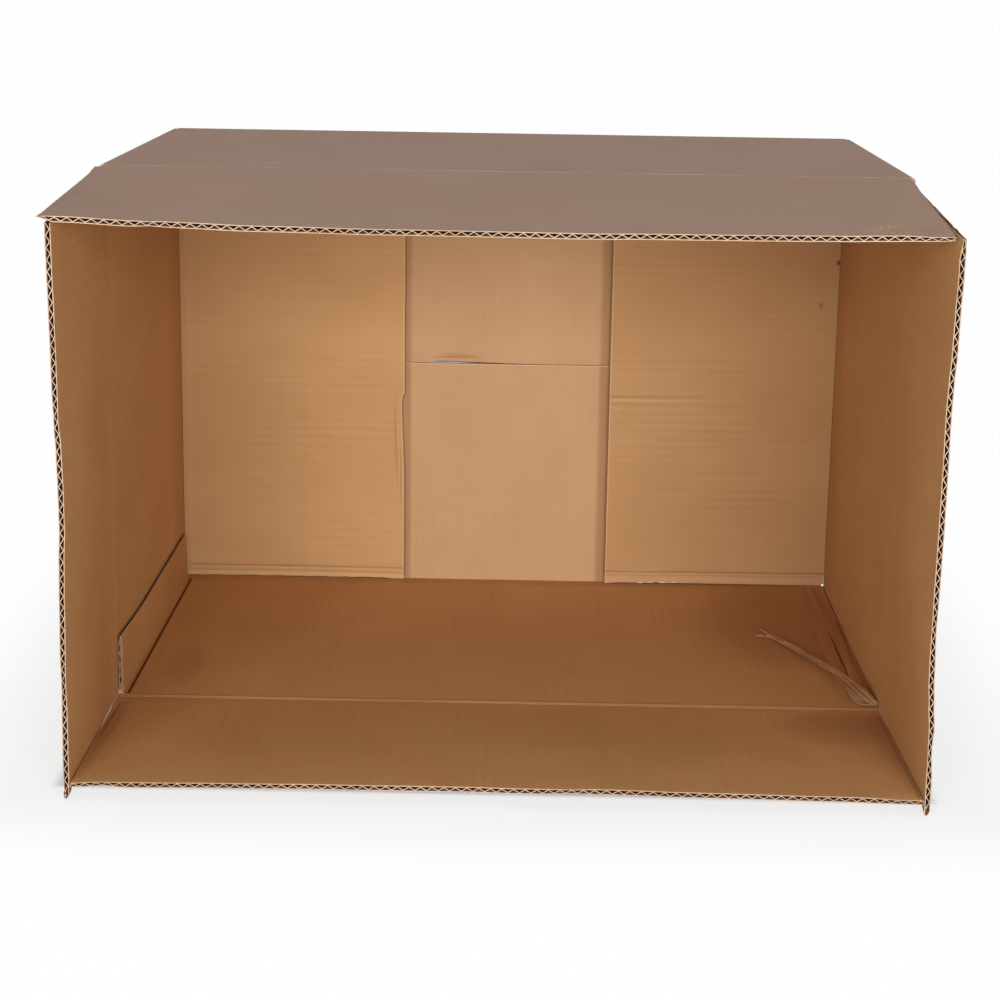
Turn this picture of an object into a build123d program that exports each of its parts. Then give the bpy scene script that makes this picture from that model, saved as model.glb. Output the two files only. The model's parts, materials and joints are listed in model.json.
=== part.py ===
# Moving box of single-wall corrugated board, lying on one long side panel.
#
# The frame is X to the right, Y into the box and Z up. The mouth looks towards -Y with its
# four flaps open, and the far end is closed by two inner flaps, two outer flaps and a strip
# of tape. The box rests on Z = 0, and X = 0 and Y = 0 are the middle of its outline.
# Every length is in millimetres.

import os
from math import asin, cos, degrees, floor, hypot, radians, sin, tan

from build123d import *

os.makedirs("parts", exist_ok=True)

# Inside of the box
inner_length = 580.0
inner_height = 398.0
side_panel_depth = 338.0

# Corrugated board: two liners with a fluted sheet between them
board = 4.0
liner = 0.5
flute_sheet = 0.4
flute_pitch = 7.8
flute_margin = 2.0

# Creases, folds and slots of the sheet
nest_clearance = 0.3
crease_gap = 0.4
crease_land = 0.1
crease_crush = 6.0
fold_radius = 3.0
slot_width = 8.0
slot_overrun = 3.0
seam_gap = 1.0

# Long flaps: how far each open edge is cut in, and how each one lies open
long_flap_taper = 3.2
bottom_flap_rise = 2.87
top_flap_droop = 4.6

# Short flaps of the mouth: their lean and their clearance to the long flaps
left_flap_lean = 1.3
right_flap_lean = 0.3
flap_clearance = 0.5

# Inner flaps of the closed end
hinge_clearance = 0.3
right_inner_flap_ajar = 1.2

# Glued joint between the floor panel and the left wall
glue_tab_width = 43.5
glue_tab_flare = 6.0
glue_tab_flare_length = 100.0
glue_tab_front_gap = 3.2
glue_tab_back_gap = 12.0
raw_edge_lift = 2.0

# Strip of tape over the outer seam
tape_width = 48.0
tape_thickness = 0.2
tape_lap = 50.0

# Torn strip of slot waste that still lies in the right corner
strip_width = 7.5
strip_tip_width = 4.5
strip_thickness = 1.4
strip_hump = 7.0
strip_hump_share = 0.55
strip_root_inset = 7.0
strip_root_depth = 8.0
strip_tip_inset = 74.0
strip_tip_depth = 192.0
strip_split = 22.0
strip_split_width = 1.6
strip_seat = 0.2

# Sizes that follow from the ones above
half_board = board / 2
half_inner = inner_length / 2
half_outer = half_inner + board
half_mid = half_inner + half_board
outer_height = inner_height + 2 * board
panel_height = inner_height + board
crease_step = board + nest_clearance
long_flap_length = (panel_height - seam_gap) / 2
short_flap_length = long_flap_length + crease_step
half_slot = slot_width / 2
half_long_flap = half_mid - half_slot
short_flap_low = half_board + half_slot
short_flap_high = outer_height - short_flap_low

# Places along Y
total_depth = short_flap_length + side_panel_depth + crease_step + half_board + tape_thickness
side_crease_front = short_flap_length - total_depth / 2
side_crease_back = side_crease_front + side_panel_depth
long_crease_front = side_crease_front - crease_step
long_crease_back = side_crease_back + crease_step
slot_root_front = side_crease_front + slot_overrun
slot_root_back = side_crease_back - slot_overrun
back_face = long_crease_back + half_board


def section_plane(y):
    """Plane across the box at a distance along Y, with X and Z as its own axes."""
    return Plane.XZ.offset(-y)


def side_plane():
    """Plane along the middle of the box, with Z and Y as its own axes."""
    return Plane(origin=(0, 0, 0), x_dir=(0, 0, 1), z_dir=(-1, 0, 0))


def flap_plane(origin, across, outward):
    """Plane of a flap: its X runs along the crease and its Y towards the free edge."""
    return Plane(origin=origin, x_dir=across, z_dir=Vector(*across).cross(Vector(*outward)))


def crease_end(depth):
    """Section of a panel's edge, crushed to a blunt point on the crease at the origin."""
    shoulder = crease_gap + half_board - crease_land
    with BuildSketch() as end:
        with BuildLine():
            Polyline(
                (-crease_land, crease_gap),
                (crease_land, crease_gap),
                (half_board, shoulder),
                (half_board, depth),
                (-half_board, depth),
                (-half_board, shoulder),
                close=True,
            )
        make_face()
    return end.sketch


def flute_openings(span):
    """Open ends of the flutes across a cut edge of the board, centred on the origin."""
    height = board - 2 * liner
    half_pitch = flute_pitch / 2
    slant = hypot(height, half_pitch)
    side_cut = flute_sheet / 2 * slant / height
    tip_cut = flute_sheet / 2 * slant / half_pitch
    half_base = half_pitch - side_cut
    wide = height / 2
    narrow = height / 2 - tip_cut
    count = floor((span - 2 * flute_margin - half_pitch) / flute_pitch)
    with BuildSketch() as openings:
        with Locations((-half_pitch / 2, 0)):
            with GridLocations(flute_pitch, 1, count, 1):
                Polygon((-half_base, wide), (half_base, wide), (0, -narrow), align=None)
        with Locations((half_pitch / 2, 0)):
            with GridLocations(flute_pitch, 1, count, 1):
                Polygon((-half_base, -wide), (0, narrow), (half_base, -wide), align=None)
    return openings.sketch


def board_flap(face, low, high, low_taper, high_taper, length, creased=True):
    """Flap with open flutes, from the plane of one face to a board's thickness over it.

    A creased flap turns both ways on a crease in the middle of the board. The others turn
    on the face itself and end square beside it.
    """
    start = crease_gap if creased else hinge_clearance
    edge_low = low + low_taper
    edge_high = high - high_taper
    edge_middle = (edge_low + edge_high) / 2
    with BuildPart() as flap:
        with BuildSketch(face):
            with BuildLine():
                Polyline((low, start), (high, start), (edge_high, length), (edge_low, length), close=True)
            make_face()
        extrude(amount=board)
        if creased:
            crease_middle_line = Axis(face.origin + face.z_dir * half_board, face.x_dir)
            end_face = flap.faces().sort_by_distance(crease_middle_line.position)[0]
            chamfer(end_face.edges().filter_by(crease_middle_line), length=half_board - crease_land)
        cut_edge = face.location * Location((edge_middle, length, half_board), (-90, 0, 0))
        with BuildSketch(Plane(cut_edge)):
            add(flute_openings(edge_high - edge_low))
        extrude(amount=-(length - start - crease_crush), mode=Mode.SUBTRACT, clean=False)
    return flap.part


# Body: four panels, the glue tab and the two outer flaps of the closed end, one folded sheet
with BuildPart() as carton_body:
    with BuildSketch(section_plane(slot_root_front)) as tube:
        with Locations((0, outer_height / 2)):
            Rectangle(2 * half_outer, outer_height)
        raw_corner = tube.vertices().group_by(Axis.Y)[0].sort_by(Axis.X)[0]
        folded_corners = [corner for corner in tube.vertices() if corner != raw_corner]
        fillet(folded_corners, radius=fold_radius)
        with Locations((0, outer_height / 2)):
            Rectangle(inner_length, inner_height, mode=Mode.SUBTRACT)
        with Locations((-half_outer, 0)):
            Rectangle(board, raw_edge_lift, align=(Align.MIN, Align.MIN), mode=Mode.SUBTRACT)
    extrude(amount=slot_root_front - slot_root_back)

    # Side walls run on between the slots, to the front crease and to the back corner
    with BuildSketch(Plane.XY.offset(short_flap_low)) as wall_ends:
        with Locations((-half_mid, side_crease_front), (half_mid, side_crease_front)):
            add(crease_end(slot_overrun))
        back_depth = slot_overrun + half_board
        with Locations((-half_mid, slot_root_back), (half_mid, slot_root_back)):
            Rectangle(board, back_depth, align=(Align.CENTER, Align.MIN))
        back_corners = wall_ends.vertices().group_by(Axis.Y)[-1].sort_by(Axis.X)
        fillet([back_corners[0], back_corners[-1]], radius=fold_radius)
    extrude(amount=short_flap_high - short_flap_low)

    # Floor and top panel run on to their own creases
    with BuildSketch(side_plane()) as long_panel_ends:
        with Locations((half_board, long_crease_front), (outer_height - half_board, long_crease_front)):
            add(crease_end(crease_step + slot_overrun))
    extrude(amount=half_long_flap, both=True)

    # Outer flaps of the closed end, folded up from the floor and down from the top panel
    for base, way in ((0, 1), (outer_height, -1)):
        tip = base + way * (half_board + long_flap_length)
        with BuildSketch(side_plane()) as outer_flap:
            with BuildLine():
                Polyline(
                    (base, slot_root_back),
                    (base, back_face),
                    (tip, back_face),
                    (tip, back_face - board),
                    (base + way * board, back_face - board),
                    (base + way * board, slot_root_back),
                    close=True,
                )
            make_face()
            folded_corner = outer_flap.vertices().sort_by_distance((base, back_face, 0))[0]
            fillet(folded_corner, radius=fold_radius)
        extrude(amount=half_long_flap, both=True)

    # Glue tab, folded up from the floor and stuck to the inside of the left wall
    tab_front = side_crease_front + glue_tab_front_gap
    tab_back = side_crease_back - half_board - glue_tab_back_gap
    tab_top = board + glue_tab_width
    with BuildSketch(Plane.YZ.offset(-half_inner)):
        with BuildLine():
            Polyline(
                (tab_front, half_board),
                (tab_back, half_board),
                (tab_back, tab_top),
                (tab_front + glue_tab_flare_length, tab_top),
                (tab_front, tab_top + glue_tab_flare),
                close=True,
            )
        make_face()
    extrude(amount=board)
    tab_middle = (board + tab_top) / 2
    with BuildSketch(
        Plane(origin=(half_board - half_inner, tab_front, tab_middle), x_dir=(0, 0, 1), z_dir=(0, -1, 0))
    ):
        add(flute_openings(glue_tab_width))
    extrude(amount=tab_front - tab_back, mode=Mode.SUBTRACT)

carton_body.part.label = "carton_body"
export_step(carton_body.part, "parts/carton_body.step")

# Long flaps of the mouth
long_flap_edges = (-half_long_flap, half_long_flap, long_flap_taper, long_flap_taper)
rise = radians(bottom_flap_rise)
bottom_crease = flap_plane((0, long_crease_front, half_board), (1, 0, 0), (0, -cos(rise), sin(rise)))
with BuildPart() as front_flap_bottom:
    add(board_flap(bottom_crease.offset(-half_board), *long_flap_edges, long_flap_length), clean=False)
front_flap_bottom.part.label = "front_flap_bottom"
export_step(front_flap_bottom.part, "parts/front_flap_bottom.step")

droop = radians(top_flap_droop)
top_crease = flap_plane(
    (0, long_crease_front, outer_height - half_board), (1, 0, 0), (0, -cos(droop), -sin(droop))
)
with BuildPart() as front_flap_top:
    add(board_flap(top_crease.offset(-half_board), *long_flap_edges, long_flap_length), clean=False)
front_flap_top.part.label = "front_flap_top"
export_step(front_flap_top.part, "parts/front_flap_top.step")

# Short flaps of the mouth, cut so that they pass over the raised bottom flap and under the
# drooping top flap on their way in
crease_middle = outer_height / 2
low_edge = short_flap_low - crease_middle
high_edge = short_flap_high - crease_middle
bottom_flap_top_face = board + short_flap_length * tan(rise)
top_flap_low_face = outer_height - board - short_flap_length * tan(droop)
low_cut = bottom_flap_top_face + flap_clearance - short_flap_low
high_cut = short_flap_high - (top_flap_low_face - flap_clearance)

short_flap_edges = (low_edge, high_edge, low_cut, high_cut)

lean_left = radians(left_flap_lean)
left_crease = flap_plane(
    (-half_mid, side_crease_front, crease_middle), (0, 0, 1), (sin(lean_left), -cos(lean_left), 0)
)
with BuildPart() as front_flap_left:
    add(board_flap(left_crease.offset(-half_board), *short_flap_edges, short_flap_length), clean=False)
front_flap_left.part.label = "front_flap_left"
export_step(front_flap_left.part, "parts/front_flap_left.step")

lean_right = radians(right_flap_lean)
right_crease = flap_plane(
    (half_mid, side_crease_front, crease_middle), (0, 0, 1), (-sin(lean_right), -cos(lean_right), 0)
)
with BuildPart() as front_flap_right:
    add(board_flap(right_crease.offset(-half_board), *short_flap_edges, short_flap_length), clean=False)
front_flap_right.part.label = "front_flap_right"
export_step(front_flap_right.part, "parts/front_flap_right.step")

# Inner flaps of the closed end, each hinged on the inside corner of its wall
# with its board behind that line, against the outer flaps
inner_corner_y = side_crease_back - half_board
inner_flap_length = short_flap_length - half_board
inner_flap_edges = (low_edge, high_edge, 0, 0)
with BuildPart() as back_flap_left:
    left_face = flap_plane((-half_inner, inner_corner_y, crease_middle), (0, 0, 1), (1, 0, 0))
    add(board_flap(left_face, *inner_flap_edges, inner_flap_length, creased=False), clean=False)
back_flap_left.part.label = "back_flap_left"
export_step(back_flap_left.part, "parts/back_flap_left.step")

ajar = radians(right_inner_flap_ajar)
with BuildPart() as back_flap_right:
    right_face = flap_plane(
        (half_inner, inner_corner_y, crease_middle), (0, 0, -1), (-cos(ajar), -sin(ajar), 0)
    )
    add(board_flap(right_face, *inner_flap_edges, inner_flap_length, creased=False), clean=False)
back_flap_right.part.label = "back_flap_right"
export_step(back_flap_right.part, "parts/back_flap_right.step")

# Tape over the outer seam, drawn tight round both back corners on to the side walls
tape_start = side_crease_back + half_board - tape_lap
flap_corner = Vector(half_long_flap, back_face)
fold_centre = Vector(half_outer - fold_radius, side_crease_back + half_board - fold_radius)
to_fold = fold_centre - flap_corner
tangent = to_fold.rotate(Axis.Z, degrees(asin(fold_radius / to_fold.length)))
wall_corner = flap_corner + tangent * ((half_outer - half_long_flap) / tangent.X)
with BuildPart() as seam_tape:
    with BuildSketch(Plane.XY.offset(crease_middle - tape_width / 2)):
        with BuildLine():
            Polyline(
                (-half_outer, tape_start),
                (-half_outer, wall_corner.Y),
                (-half_long_flap, back_face),
                (half_long_flap, back_face),
                (half_outer, wall_corner.Y),
                (half_outer, tape_start),
            )
            offset(amount=tape_thickness, side=Side.LEFT, kind=Kind.INTERSECTION)
        make_face()
    extrude(amount=tape_width)
seam_tape.part.label = "seam_tape"
export_step(seam_tape.part, "parts/seam_tape.step")

# Strip of slot waste, torn loose and lying over the floor from the right corner
root = Vector(half_inner - strip_root_inset, side_crease_front + strip_root_depth, board)
point = Vector(half_inner - strip_tip_inset, side_crease_front + strip_tip_depth, board)
strip_run = (point - root).length
strip_way = (point - root).normalized()
across_way = strip_way.cross(Vector(0, 0, 1))
hump_end = strip_run * strip_hump_share
with BuildPart() as torn_slot_strip:
    with BuildSketch(Plane(origin=root, x_dir=strip_way, z_dir=across_way)):
        with BuildLine():
            seat_line = Line((strip_run, strip_seat), (hump_end, strip_seat))
            under = ThreePointArc(seat_line @ 1, (hump_end / 2, strip_seat + strip_hump), (0, strip_seat))
            root_end = Line(under @ 1, (0, strip_seat + strip_thickness))
            over = ThreePointArc(
                root_end @ 1,
                (hump_end / 2, strip_seat + strip_hump + strip_thickness),
                (hump_end, strip_seat + strip_thickness),
            )
            Polyline(over @ 1, (strip_run, strip_seat + strip_thickness), seat_line @ 0)
        make_face()
    extrude(amount=strip_width / 2, both=True)
    with BuildSketch(Plane(origin=root, x_dir=strip_way, z_dir=(0, 0, 1))):
        with BuildLine():
            Polyline(
                (0, -strip_width / 2),
                (strip_run, -strip_tip_width / 2),
                (strip_run, -strip_split_width / 2),
                (strip_run - strip_split, 0),
                (strip_run, strip_split_width / 2),
                (strip_run, strip_tip_width / 2),
                (0, strip_width / 2),
                close=True,
            )
        make_face()
    extrude(amount=strip_hump + board, mode=Mode.INTERSECT)
torn_slot_strip.part.label = "torn_slot_strip"
export_step(torn_slot_strip.part, "parts/torn_slot_strip.step")
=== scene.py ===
"""Studio picture of a corrugated moving box that lies on its long side.

The box is dressed over its fixed frame: every flap is a real sandwich of two liners and a fluted
sheet, each panel is two liners, the folds are bent board, and the wear of the used box is modelled on them.
"""

import json
import logging
import math
from dataclasses import dataclass, field
from enum import Enum
from typing import Iterable, Sequence

import bpy
import numpy as np
from mathutils import Matrix, Vector


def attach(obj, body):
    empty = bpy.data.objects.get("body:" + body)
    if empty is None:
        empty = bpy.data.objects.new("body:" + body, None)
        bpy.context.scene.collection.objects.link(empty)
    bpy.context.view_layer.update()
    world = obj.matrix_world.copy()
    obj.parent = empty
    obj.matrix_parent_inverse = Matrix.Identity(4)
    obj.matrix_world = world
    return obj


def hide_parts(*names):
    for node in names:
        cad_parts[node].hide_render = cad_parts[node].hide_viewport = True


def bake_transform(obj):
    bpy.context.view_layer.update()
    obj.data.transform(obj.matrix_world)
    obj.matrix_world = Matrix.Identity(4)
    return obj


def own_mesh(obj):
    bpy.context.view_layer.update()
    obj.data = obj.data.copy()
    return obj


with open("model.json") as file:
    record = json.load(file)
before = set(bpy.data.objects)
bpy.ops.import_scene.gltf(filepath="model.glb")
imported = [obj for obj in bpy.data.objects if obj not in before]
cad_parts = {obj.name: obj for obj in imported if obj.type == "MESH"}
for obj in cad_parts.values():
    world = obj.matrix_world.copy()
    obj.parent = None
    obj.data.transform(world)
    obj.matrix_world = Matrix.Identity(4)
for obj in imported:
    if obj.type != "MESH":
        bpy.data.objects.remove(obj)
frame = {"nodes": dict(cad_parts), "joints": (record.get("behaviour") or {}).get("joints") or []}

log = logging.getLogger("moving_box")

MM = 0.001
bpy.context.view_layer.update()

Colour = tuple[float, float, float, float]


def millimetres(*lengths: float) -> Vector:
    """A point or step in metres, from lengths in millimetres."""
    return Vector(length * MM for length in lengths)


def srgb(red: int, green: int, blue: int) -> Colour:
    """A linear shader colour, from its red, green and blue out of 255."""
    return tuple(((c / 255 + 0.055) / 1.055) ** 2.4 for c in (red, green, blue)) + (1.0,)


@dataclass(frozen=True)
class Carton:
    """Driving sizes of the folded sheet, in metres, and the places that follow from them."""

    inner_length: float = 580 * MM
    inner_height: float = 398 * MM
    wall_depth: float = 338 * MM
    board: float = 4 * MM
    crease_step: float = 4.3 * MM
    slot_width: float = 8 * MM
    slot_overrun: float = 3 * MM
    long_flap: float = 200.5 * MM
    short_flap: float = 204.8 * MM
    long_flap_taper: float = 3.2 * MM
    flap_clearance: float = 0.5 * MM
    tab_width: float = 43.5 * MM
    tab_flare: float = 6 * MM
    tab_flare_length: float = 100 * MM
    tab_back_gap: float = 12 * MM
    tab_front_gap: float = 3.2 * MM
    raw_edge_lift: float = 2 * MM
    fold_radius: float = 3.4 * MM

    @property
    def half(self) -> float:
        """Half of the board's thickness."""
        return self.board / 2

    @property
    def half_inner(self) -> float:
        """From the middle of the box to the inner face of a side wall."""
        return self.inner_length / 2

    @property
    def half_outer(self) -> float:
        """From the middle of the box to the outer face of a side wall."""
        return self.half_inner + self.board

    @property
    def half_long(self) -> float:
        """Half of the length of a long flap at its crease."""
        return self.half_inner + self.half - self.slot_width / 2

    @property
    def height(self) -> float:
        """Outer height of the lying box."""
        return self.inner_height + 2 * self.board

    @property
    def short_low(self) -> float:
        """Height of the lower end of a short flap at its crease."""
        return self.half + self.slot_width / 2

    @property
    def short_half(self) -> float:
        """Half of the length of a short flap at its crease."""
        return self.height / 2 - self.short_low


CARTON = Carton()
JOINTS = {joint["name"]: joint for joint in frame["joints"]}


def crease_point(joint: str) -> Vector:
    """A point on a joint's axis."""
    return Vector(JOINTS[joint]["pos_m"])


def rest_angle(joint: str) -> float:
    """How far a mouth flap lies from straight out, in radians, read from its closed limit."""
    return math.radians(90 + JOINTS[joint]["range_deg"][0])


FRONT_SIDE = crease_point("left_flap_crease").y
FRONT_LONG = crease_point("bottom_flap_crease").y
BACK_SIDE = FRONT_SIDE + CARTON.wall_depth
BACK_INNER = crease_point("inner_left_flap_crease").y
BACK_FACE = BACK_SIDE + CARTON.crease_step + CARTON.half
SLOT_FRONT = FRONT_SIDE + CARTON.slot_overrun
SLOT_BACK = BACK_SIDE - CARTON.slot_overrun


class Body(str, Enum):
    """The moving bodies of the frame."""

    CARTON = "carton"
    BOTTOM = "mouth_flap_bottom"
    TOP = "mouth_flap_top"
    LEFT = "mouth_flap_left"
    RIGHT = "mouth_flap_right"
    INNER_LEFT = "inner_flap_left"
    INNER_RIGHT = "inner_flap_right"


@dataclass(frozen=True)
class Placing:
    """Where a flat board lies: its middle, the way its flutes run and its inner face's normal."""

    origin: Vector
    outward: Vector
    inner: Vector

    def matrix(self) -> Matrix:
        """Turns the board's own across, outward and inner axes into the row frame."""
        across = self.outward.cross(self.inner)
        turn = Matrix((across, self.outward, self.inner)).transposed()
        return Matrix.Translation(self.origin) @ turn.to_4x4()

    def across_sign(self, axis: int) -> int:
        """Whether the board's across axis points up or down a row axis."""
        return 1 if self.outward.cross(self.inner)[axis] > 0 else -1

    def local(self, point: Vector) -> Vector:
        """A point of the row frame, in the board's own axes."""
        return self.matrix().inverted() @ point


def select_only(obj: bpy.types.Object) -> None:
    """Deselects everything else and makes one object the active one."""
    for other in bpy.context.selected_objects:
        other.select_set(False)
    obj.select_set(True)
    bpy.context.view_layer.objects.active = obj


def points_of(obj: bpy.types.Object) -> np.ndarray:
    """The vertices of a mesh, one row each."""
    flat = np.empty(len(obj.data.vertices) * 3)
    obj.data.vertices.foreach_get("co", flat)
    return flat.reshape(-1, 3)


def set_points(obj: bpy.types.Object, points: np.ndarray) -> None:
    """Moves the vertices of a mesh."""
    obj.data.vertices.foreach_set("co", points.ravel())
    obj.data.update()


def apply_modifier(obj: bpy.types.Object, kind: str, **settings: object) -> None:
    """Adds a modifier with its settings and applies it.

    Args:
        obj: The object that gets it.
        kind: The modifier's type.
        **settings: Its properties.
    """
    select_only(obj)
    modifier = obj.modifiers.new(kind.title(), kind)
    for key, value in settings.items():
        setattr(modifier, key, value)
    bpy.ops.object.modifier_apply(modifier=modifier.name)


def grid_sheet(name: str, low: float, high: float, start: float, end: float,
               across: int, along: int) -> bpy.types.Object:
    """Adds a flat grid over a rectangle of the board's own plane.

    Args:
        name: The new object's name.
        low: Its lower end across the flutes.
        high: Its upper end across the flutes.
        start: Its first end along the flutes.
        end: Its last end along the flutes.
        across: Squares across the flutes.
        along: Squares along the flutes.

    Returns:
        The grid, with its size and place in its mesh.
    """
    bpy.ops.object.select_all(action="DESELECT")
    bpy.ops.mesh.primitive_grid_add(x_subdivisions=across, y_subdivisions=along, size=1)
    obj = bpy.context.object
    obj.name = name
    obj.scale = (high - low, end - start, 1)
    obj.location = ((low + high) / 2, (start + end) / 2, 0)
    bpy.ops.object.transform_apply(location=True, rotation=True, scale=True)
    return obj


def cut_away(obj: bpy.types.Object, point: Vector, normal: Vector) -> None:
    """Cuts a sheet along a plane and clears what lies on the normal's side."""
    select_only(obj)
    bpy.ops.object.mode_set(mode="EDIT")
    bpy.ops.mesh.select_all(action="SELECT")
    bpy.ops.mesh.bisect(plane_co=point, plane_no=normal, clear_outer=True, use_fill=False)
    bpy.ops.object.mode_set(mode="OBJECT")


def join(name: str, objects: Sequence[bpy.types.Object]) -> bpy.types.Object:
    """Joins meshes into one, under a name."""
    select_only(objects[0])
    for obj in objects:
        obj.select_set(True)
    bpy.ops.object.join()
    objects[0].name = name
    objects[0].data.name = name
    return objects[0]


def remember_sheet(obj: bpy.types.Object, offset: float) -> None:
    """Keeps each vertex's place on its flat sheet, which the materials follow.

    Args:
        obj: The finished mesh in its own flat axes.
        offset: A step that gives each piece its own stretch of pattern.
    """
    points = points_of(obj)
    points[:, 2] += offset
    kept = obj.data.attributes.new("sheet", "FLOAT_VECTOR", "POINT")
    kept.data.foreach_set("vector", points.astype(np.float32).ravel())


def smoothstep(share: np.ndarray) -> np.ndarray:
    """Eases a share from 0 to 1."""
    share = np.clip(share, 0, 1)
    return share * share * (3 - 2 * share)


def ripple(a: np.ndarray, b: np.ndarray, size: float, seed: float) -> np.ndarray:
    """Smooth uneven height between about -1 and 1 over a plane, the same in each run.

    Args:
        a: Places along the first axis, in metres.
        b: Places along the second axis, in metres.
        size: The width of one swell, in metres.
        seed: Any number, to get another field.
    """
    p, q = a * math.tau / size, b * math.tau / size
    first = np.sin(p * 0.43 + q * 0.31 + seed * 1.7)
    second = np.sin(p * -0.27 + q * 0.53 + seed * 2.9 + 0.8 * first)
    third = np.sin(p * 0.91 - q * 0.17 + seed * 4.1 + 0.6 * second)
    return (first + second + 0.6 * third) / 2.6


class Wear:
    """A change of shape on a flat board; it moves points in the board's own axes."""

    def apply(self, points: np.ndarray) -> np.ndarray:
        """Moved points."""
        raise NotImplementedError


@dataclass(frozen=True)
class Span:
    """Where a side of a board stands across its flutes, at its fold and at its free edge."""

    at_fold: float
    at_edge: float

    def at(self, share: np.ndarray) -> np.ndarray:
        """The side's place at a share of the way from fold to edge."""
        return self.at_fold + (self.at_edge - self.at_fold) * np.clip(share, 0, 1)


@dataclass(frozen=True)
class Swell(Wear):
    """Slow unevenness of a whole board that dies away towards its fold and its sides."""

    height: float
    size: float
    seed: float
    still: float = 60 * MM
    half_length: float = 400 * MM

    def apply(self, points: np.ndarray) -> np.ndarray:
        """Points lifted off the plane."""
        moved = points.copy()
        share = smoothstep(points[:, 1] / self.still)
        share = share * smoothstep((self.half_length - np.abs(points[:, 0])) / self.still)
        moved[:, 2] += self.height * share * ripple(points[:, 0], points[:, 1], self.size, self.seed)
        return moved


@dataclass(frozen=True)
class Crush(Wear):
    """A place where the board is pressed thinner, towards one of its faces or its middle."""

    centre: tuple[float, float]
    reach: tuple[float, float]
    keep: float
    towards: float = 0.0

    def apply(self, points: np.ndarray) -> np.ndarray:
        """Points pressed together."""
        moved = points.copy()
        a = (points[:, 0] - self.centre[0]) / self.reach[0]
        b = (points[:, 1] - self.centre[1]) / self.reach[1]
        thin = 1 - smoothstep(1 - np.hypot(a, b)) * (1 - self.keep)
        moved[:, 2] = self.towards + (points[:, 2] - self.towards) * thin
        return moved


@dataclass(frozen=True)
class FrontBand(Wear):
    """A band along the free edge where the board is pressed thinner."""

    edge: float
    width: float
    keep: float
    towards: float = 0.0
    uneven: float = 0.3
    seed: float = 1.0

    def apply(self, points: np.ndarray) -> np.ndarray:
        """Points pressed together near the free edge."""
        moved = points.copy()
        swing = 1 + self.uneven * ripple(points[:, 0], points[:, 0] * 0, 40 * MM, self.seed)
        share = smoothstep(1 - np.abs(points[:, 1] - self.edge) / (self.width * swing))
        thin = 1 - share * (1 - self.keep)
        moved[:, 2] = self.towards + (points[:, 2] - self.towards) * thin
        return moved


@dataclass(frozen=True)
class SideBand(Wear):
    """A band along a side of the board, cut by the slotting knife, that is pressed thinner."""

    side: Span
    run: tuple[float, float]
    width: float
    keep: float
    towards: float = 0.0
    flat: float = 0.0
    fade: tuple[float, float] = (0.0, 1e-6)
    seed: float = 1.0

    def apply(self, points: np.ndarray) -> np.ndarray:
        """Points pressed together near the side."""
        moved = points.copy()
        along = points[:, 1]
        place = self.side.at((along - self.run[0]) / (self.run[1] - self.run[0]))
        swing = 1 + 0.2 * ripple(along, along * 0, 45 * MM, self.seed)
        off = np.abs(points[:, 0] - place) / swing
        share = smoothstep(1 - (off - self.flat) / (self.width - self.flat))
        share = share * smoothstep((along - self.fade[0]) / (self.fade[1] - self.fade[0]))
        thin = 1 - share * (1 - self.keep)
        moved[:, 2] = self.towards + (points[:, 2] - self.towards) * thin
        return moved


@dataclass(frozen=True)
class Dent(Wear):
    """A stretch of the free edge pushed back, sharply at one end and slowly at the other."""

    sharp_end: float
    slow_end: float
    depth: float
    edge: float
    reach: float
    sharp: float = 0.02
    slow: float = 1.0

    def apply(self, points: np.ndarray) -> np.ndarray:
        """Points drawn back from the edge."""
        moved = points.copy()
        share = (points[:, 0] - self.sharp_end) / (self.slow_end - self.sharp_end)
        swell = smoothstep(share / self.sharp) * smoothstep((1 - share) / self.slow)
        near = smoothstep((points[:, 1] - self.edge + self.reach) / self.reach)
        moved[:, 1] -= self.depth * swell * near
        return moved


@dataclass(frozen=True)
class Ragged(Wear):
    """A cut edge that isn't quite straight."""

    edge: float
    depth: float
    size: float
    seed: float

    def apply(self, points: np.ndarray) -> np.ndarray:
        """Points near the edge, moved along the flutes."""
        moved = points.copy()
        share = smoothstep((points[:, 1] - self.edge + 12 * MM) / (12 * MM))
        moved[:, 1] += self.depth * share * (ripple(points[:, 0], points[:, 2] * 3, self.size, self.seed) - 1)
        return moved


@dataclass(frozen=True)
class Frayed(Wear):
    """A side whose torn paper stands out in short uneven tongues over a stretch of its length."""

    side: float
    way: int
    depth: float
    stretch: tuple[float, float]
    seed: float

    def apply(self, points: np.ndarray) -> np.ndarray:
        """Points near the side, moved across the flutes."""
        moved = points.copy()
        near = smoothstep(1 - np.abs(points[:, 0] - self.side) / (4 * MM))
        start, end = self.stretch
        inside = smoothstep((points[:, 1] - start) / (8 * MM)) * smoothstep((end - points[:, 1]) / (8 * MM))
        tongues = ripple(points[:, 1], points[:, 2] * 9, 9 * MM, self.seed)
        moved[:, 0] -= self.way * self.depth * near * inside * (0.5 - 0.5 * tongues)
        return moved


@dataclass(frozen=True)
class FoldLine(Wear):
    """A soft line pressed across a board, which leaves a shallow fold with a low crest."""

    through: tuple[float, float]
    way: tuple[float, float]
    width: float
    height: float
    reach: float

    def apply(self, points: np.ndarray) -> np.ndarray:
        """Points raised along the line."""
        moved = points.copy()
        a = points[:, 0] - self.through[0]
        b = points[:, 1] - self.through[1]
        run = a * self.way[0] + b * self.way[1]
        off = a * self.way[1] - b * self.way[0]
        share = np.exp(-(off / self.width) ** 2) * smoothstep(2 * (1 - np.abs(run) / self.reach))
        moved[:, 2] += self.height * share
        return moved


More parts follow.
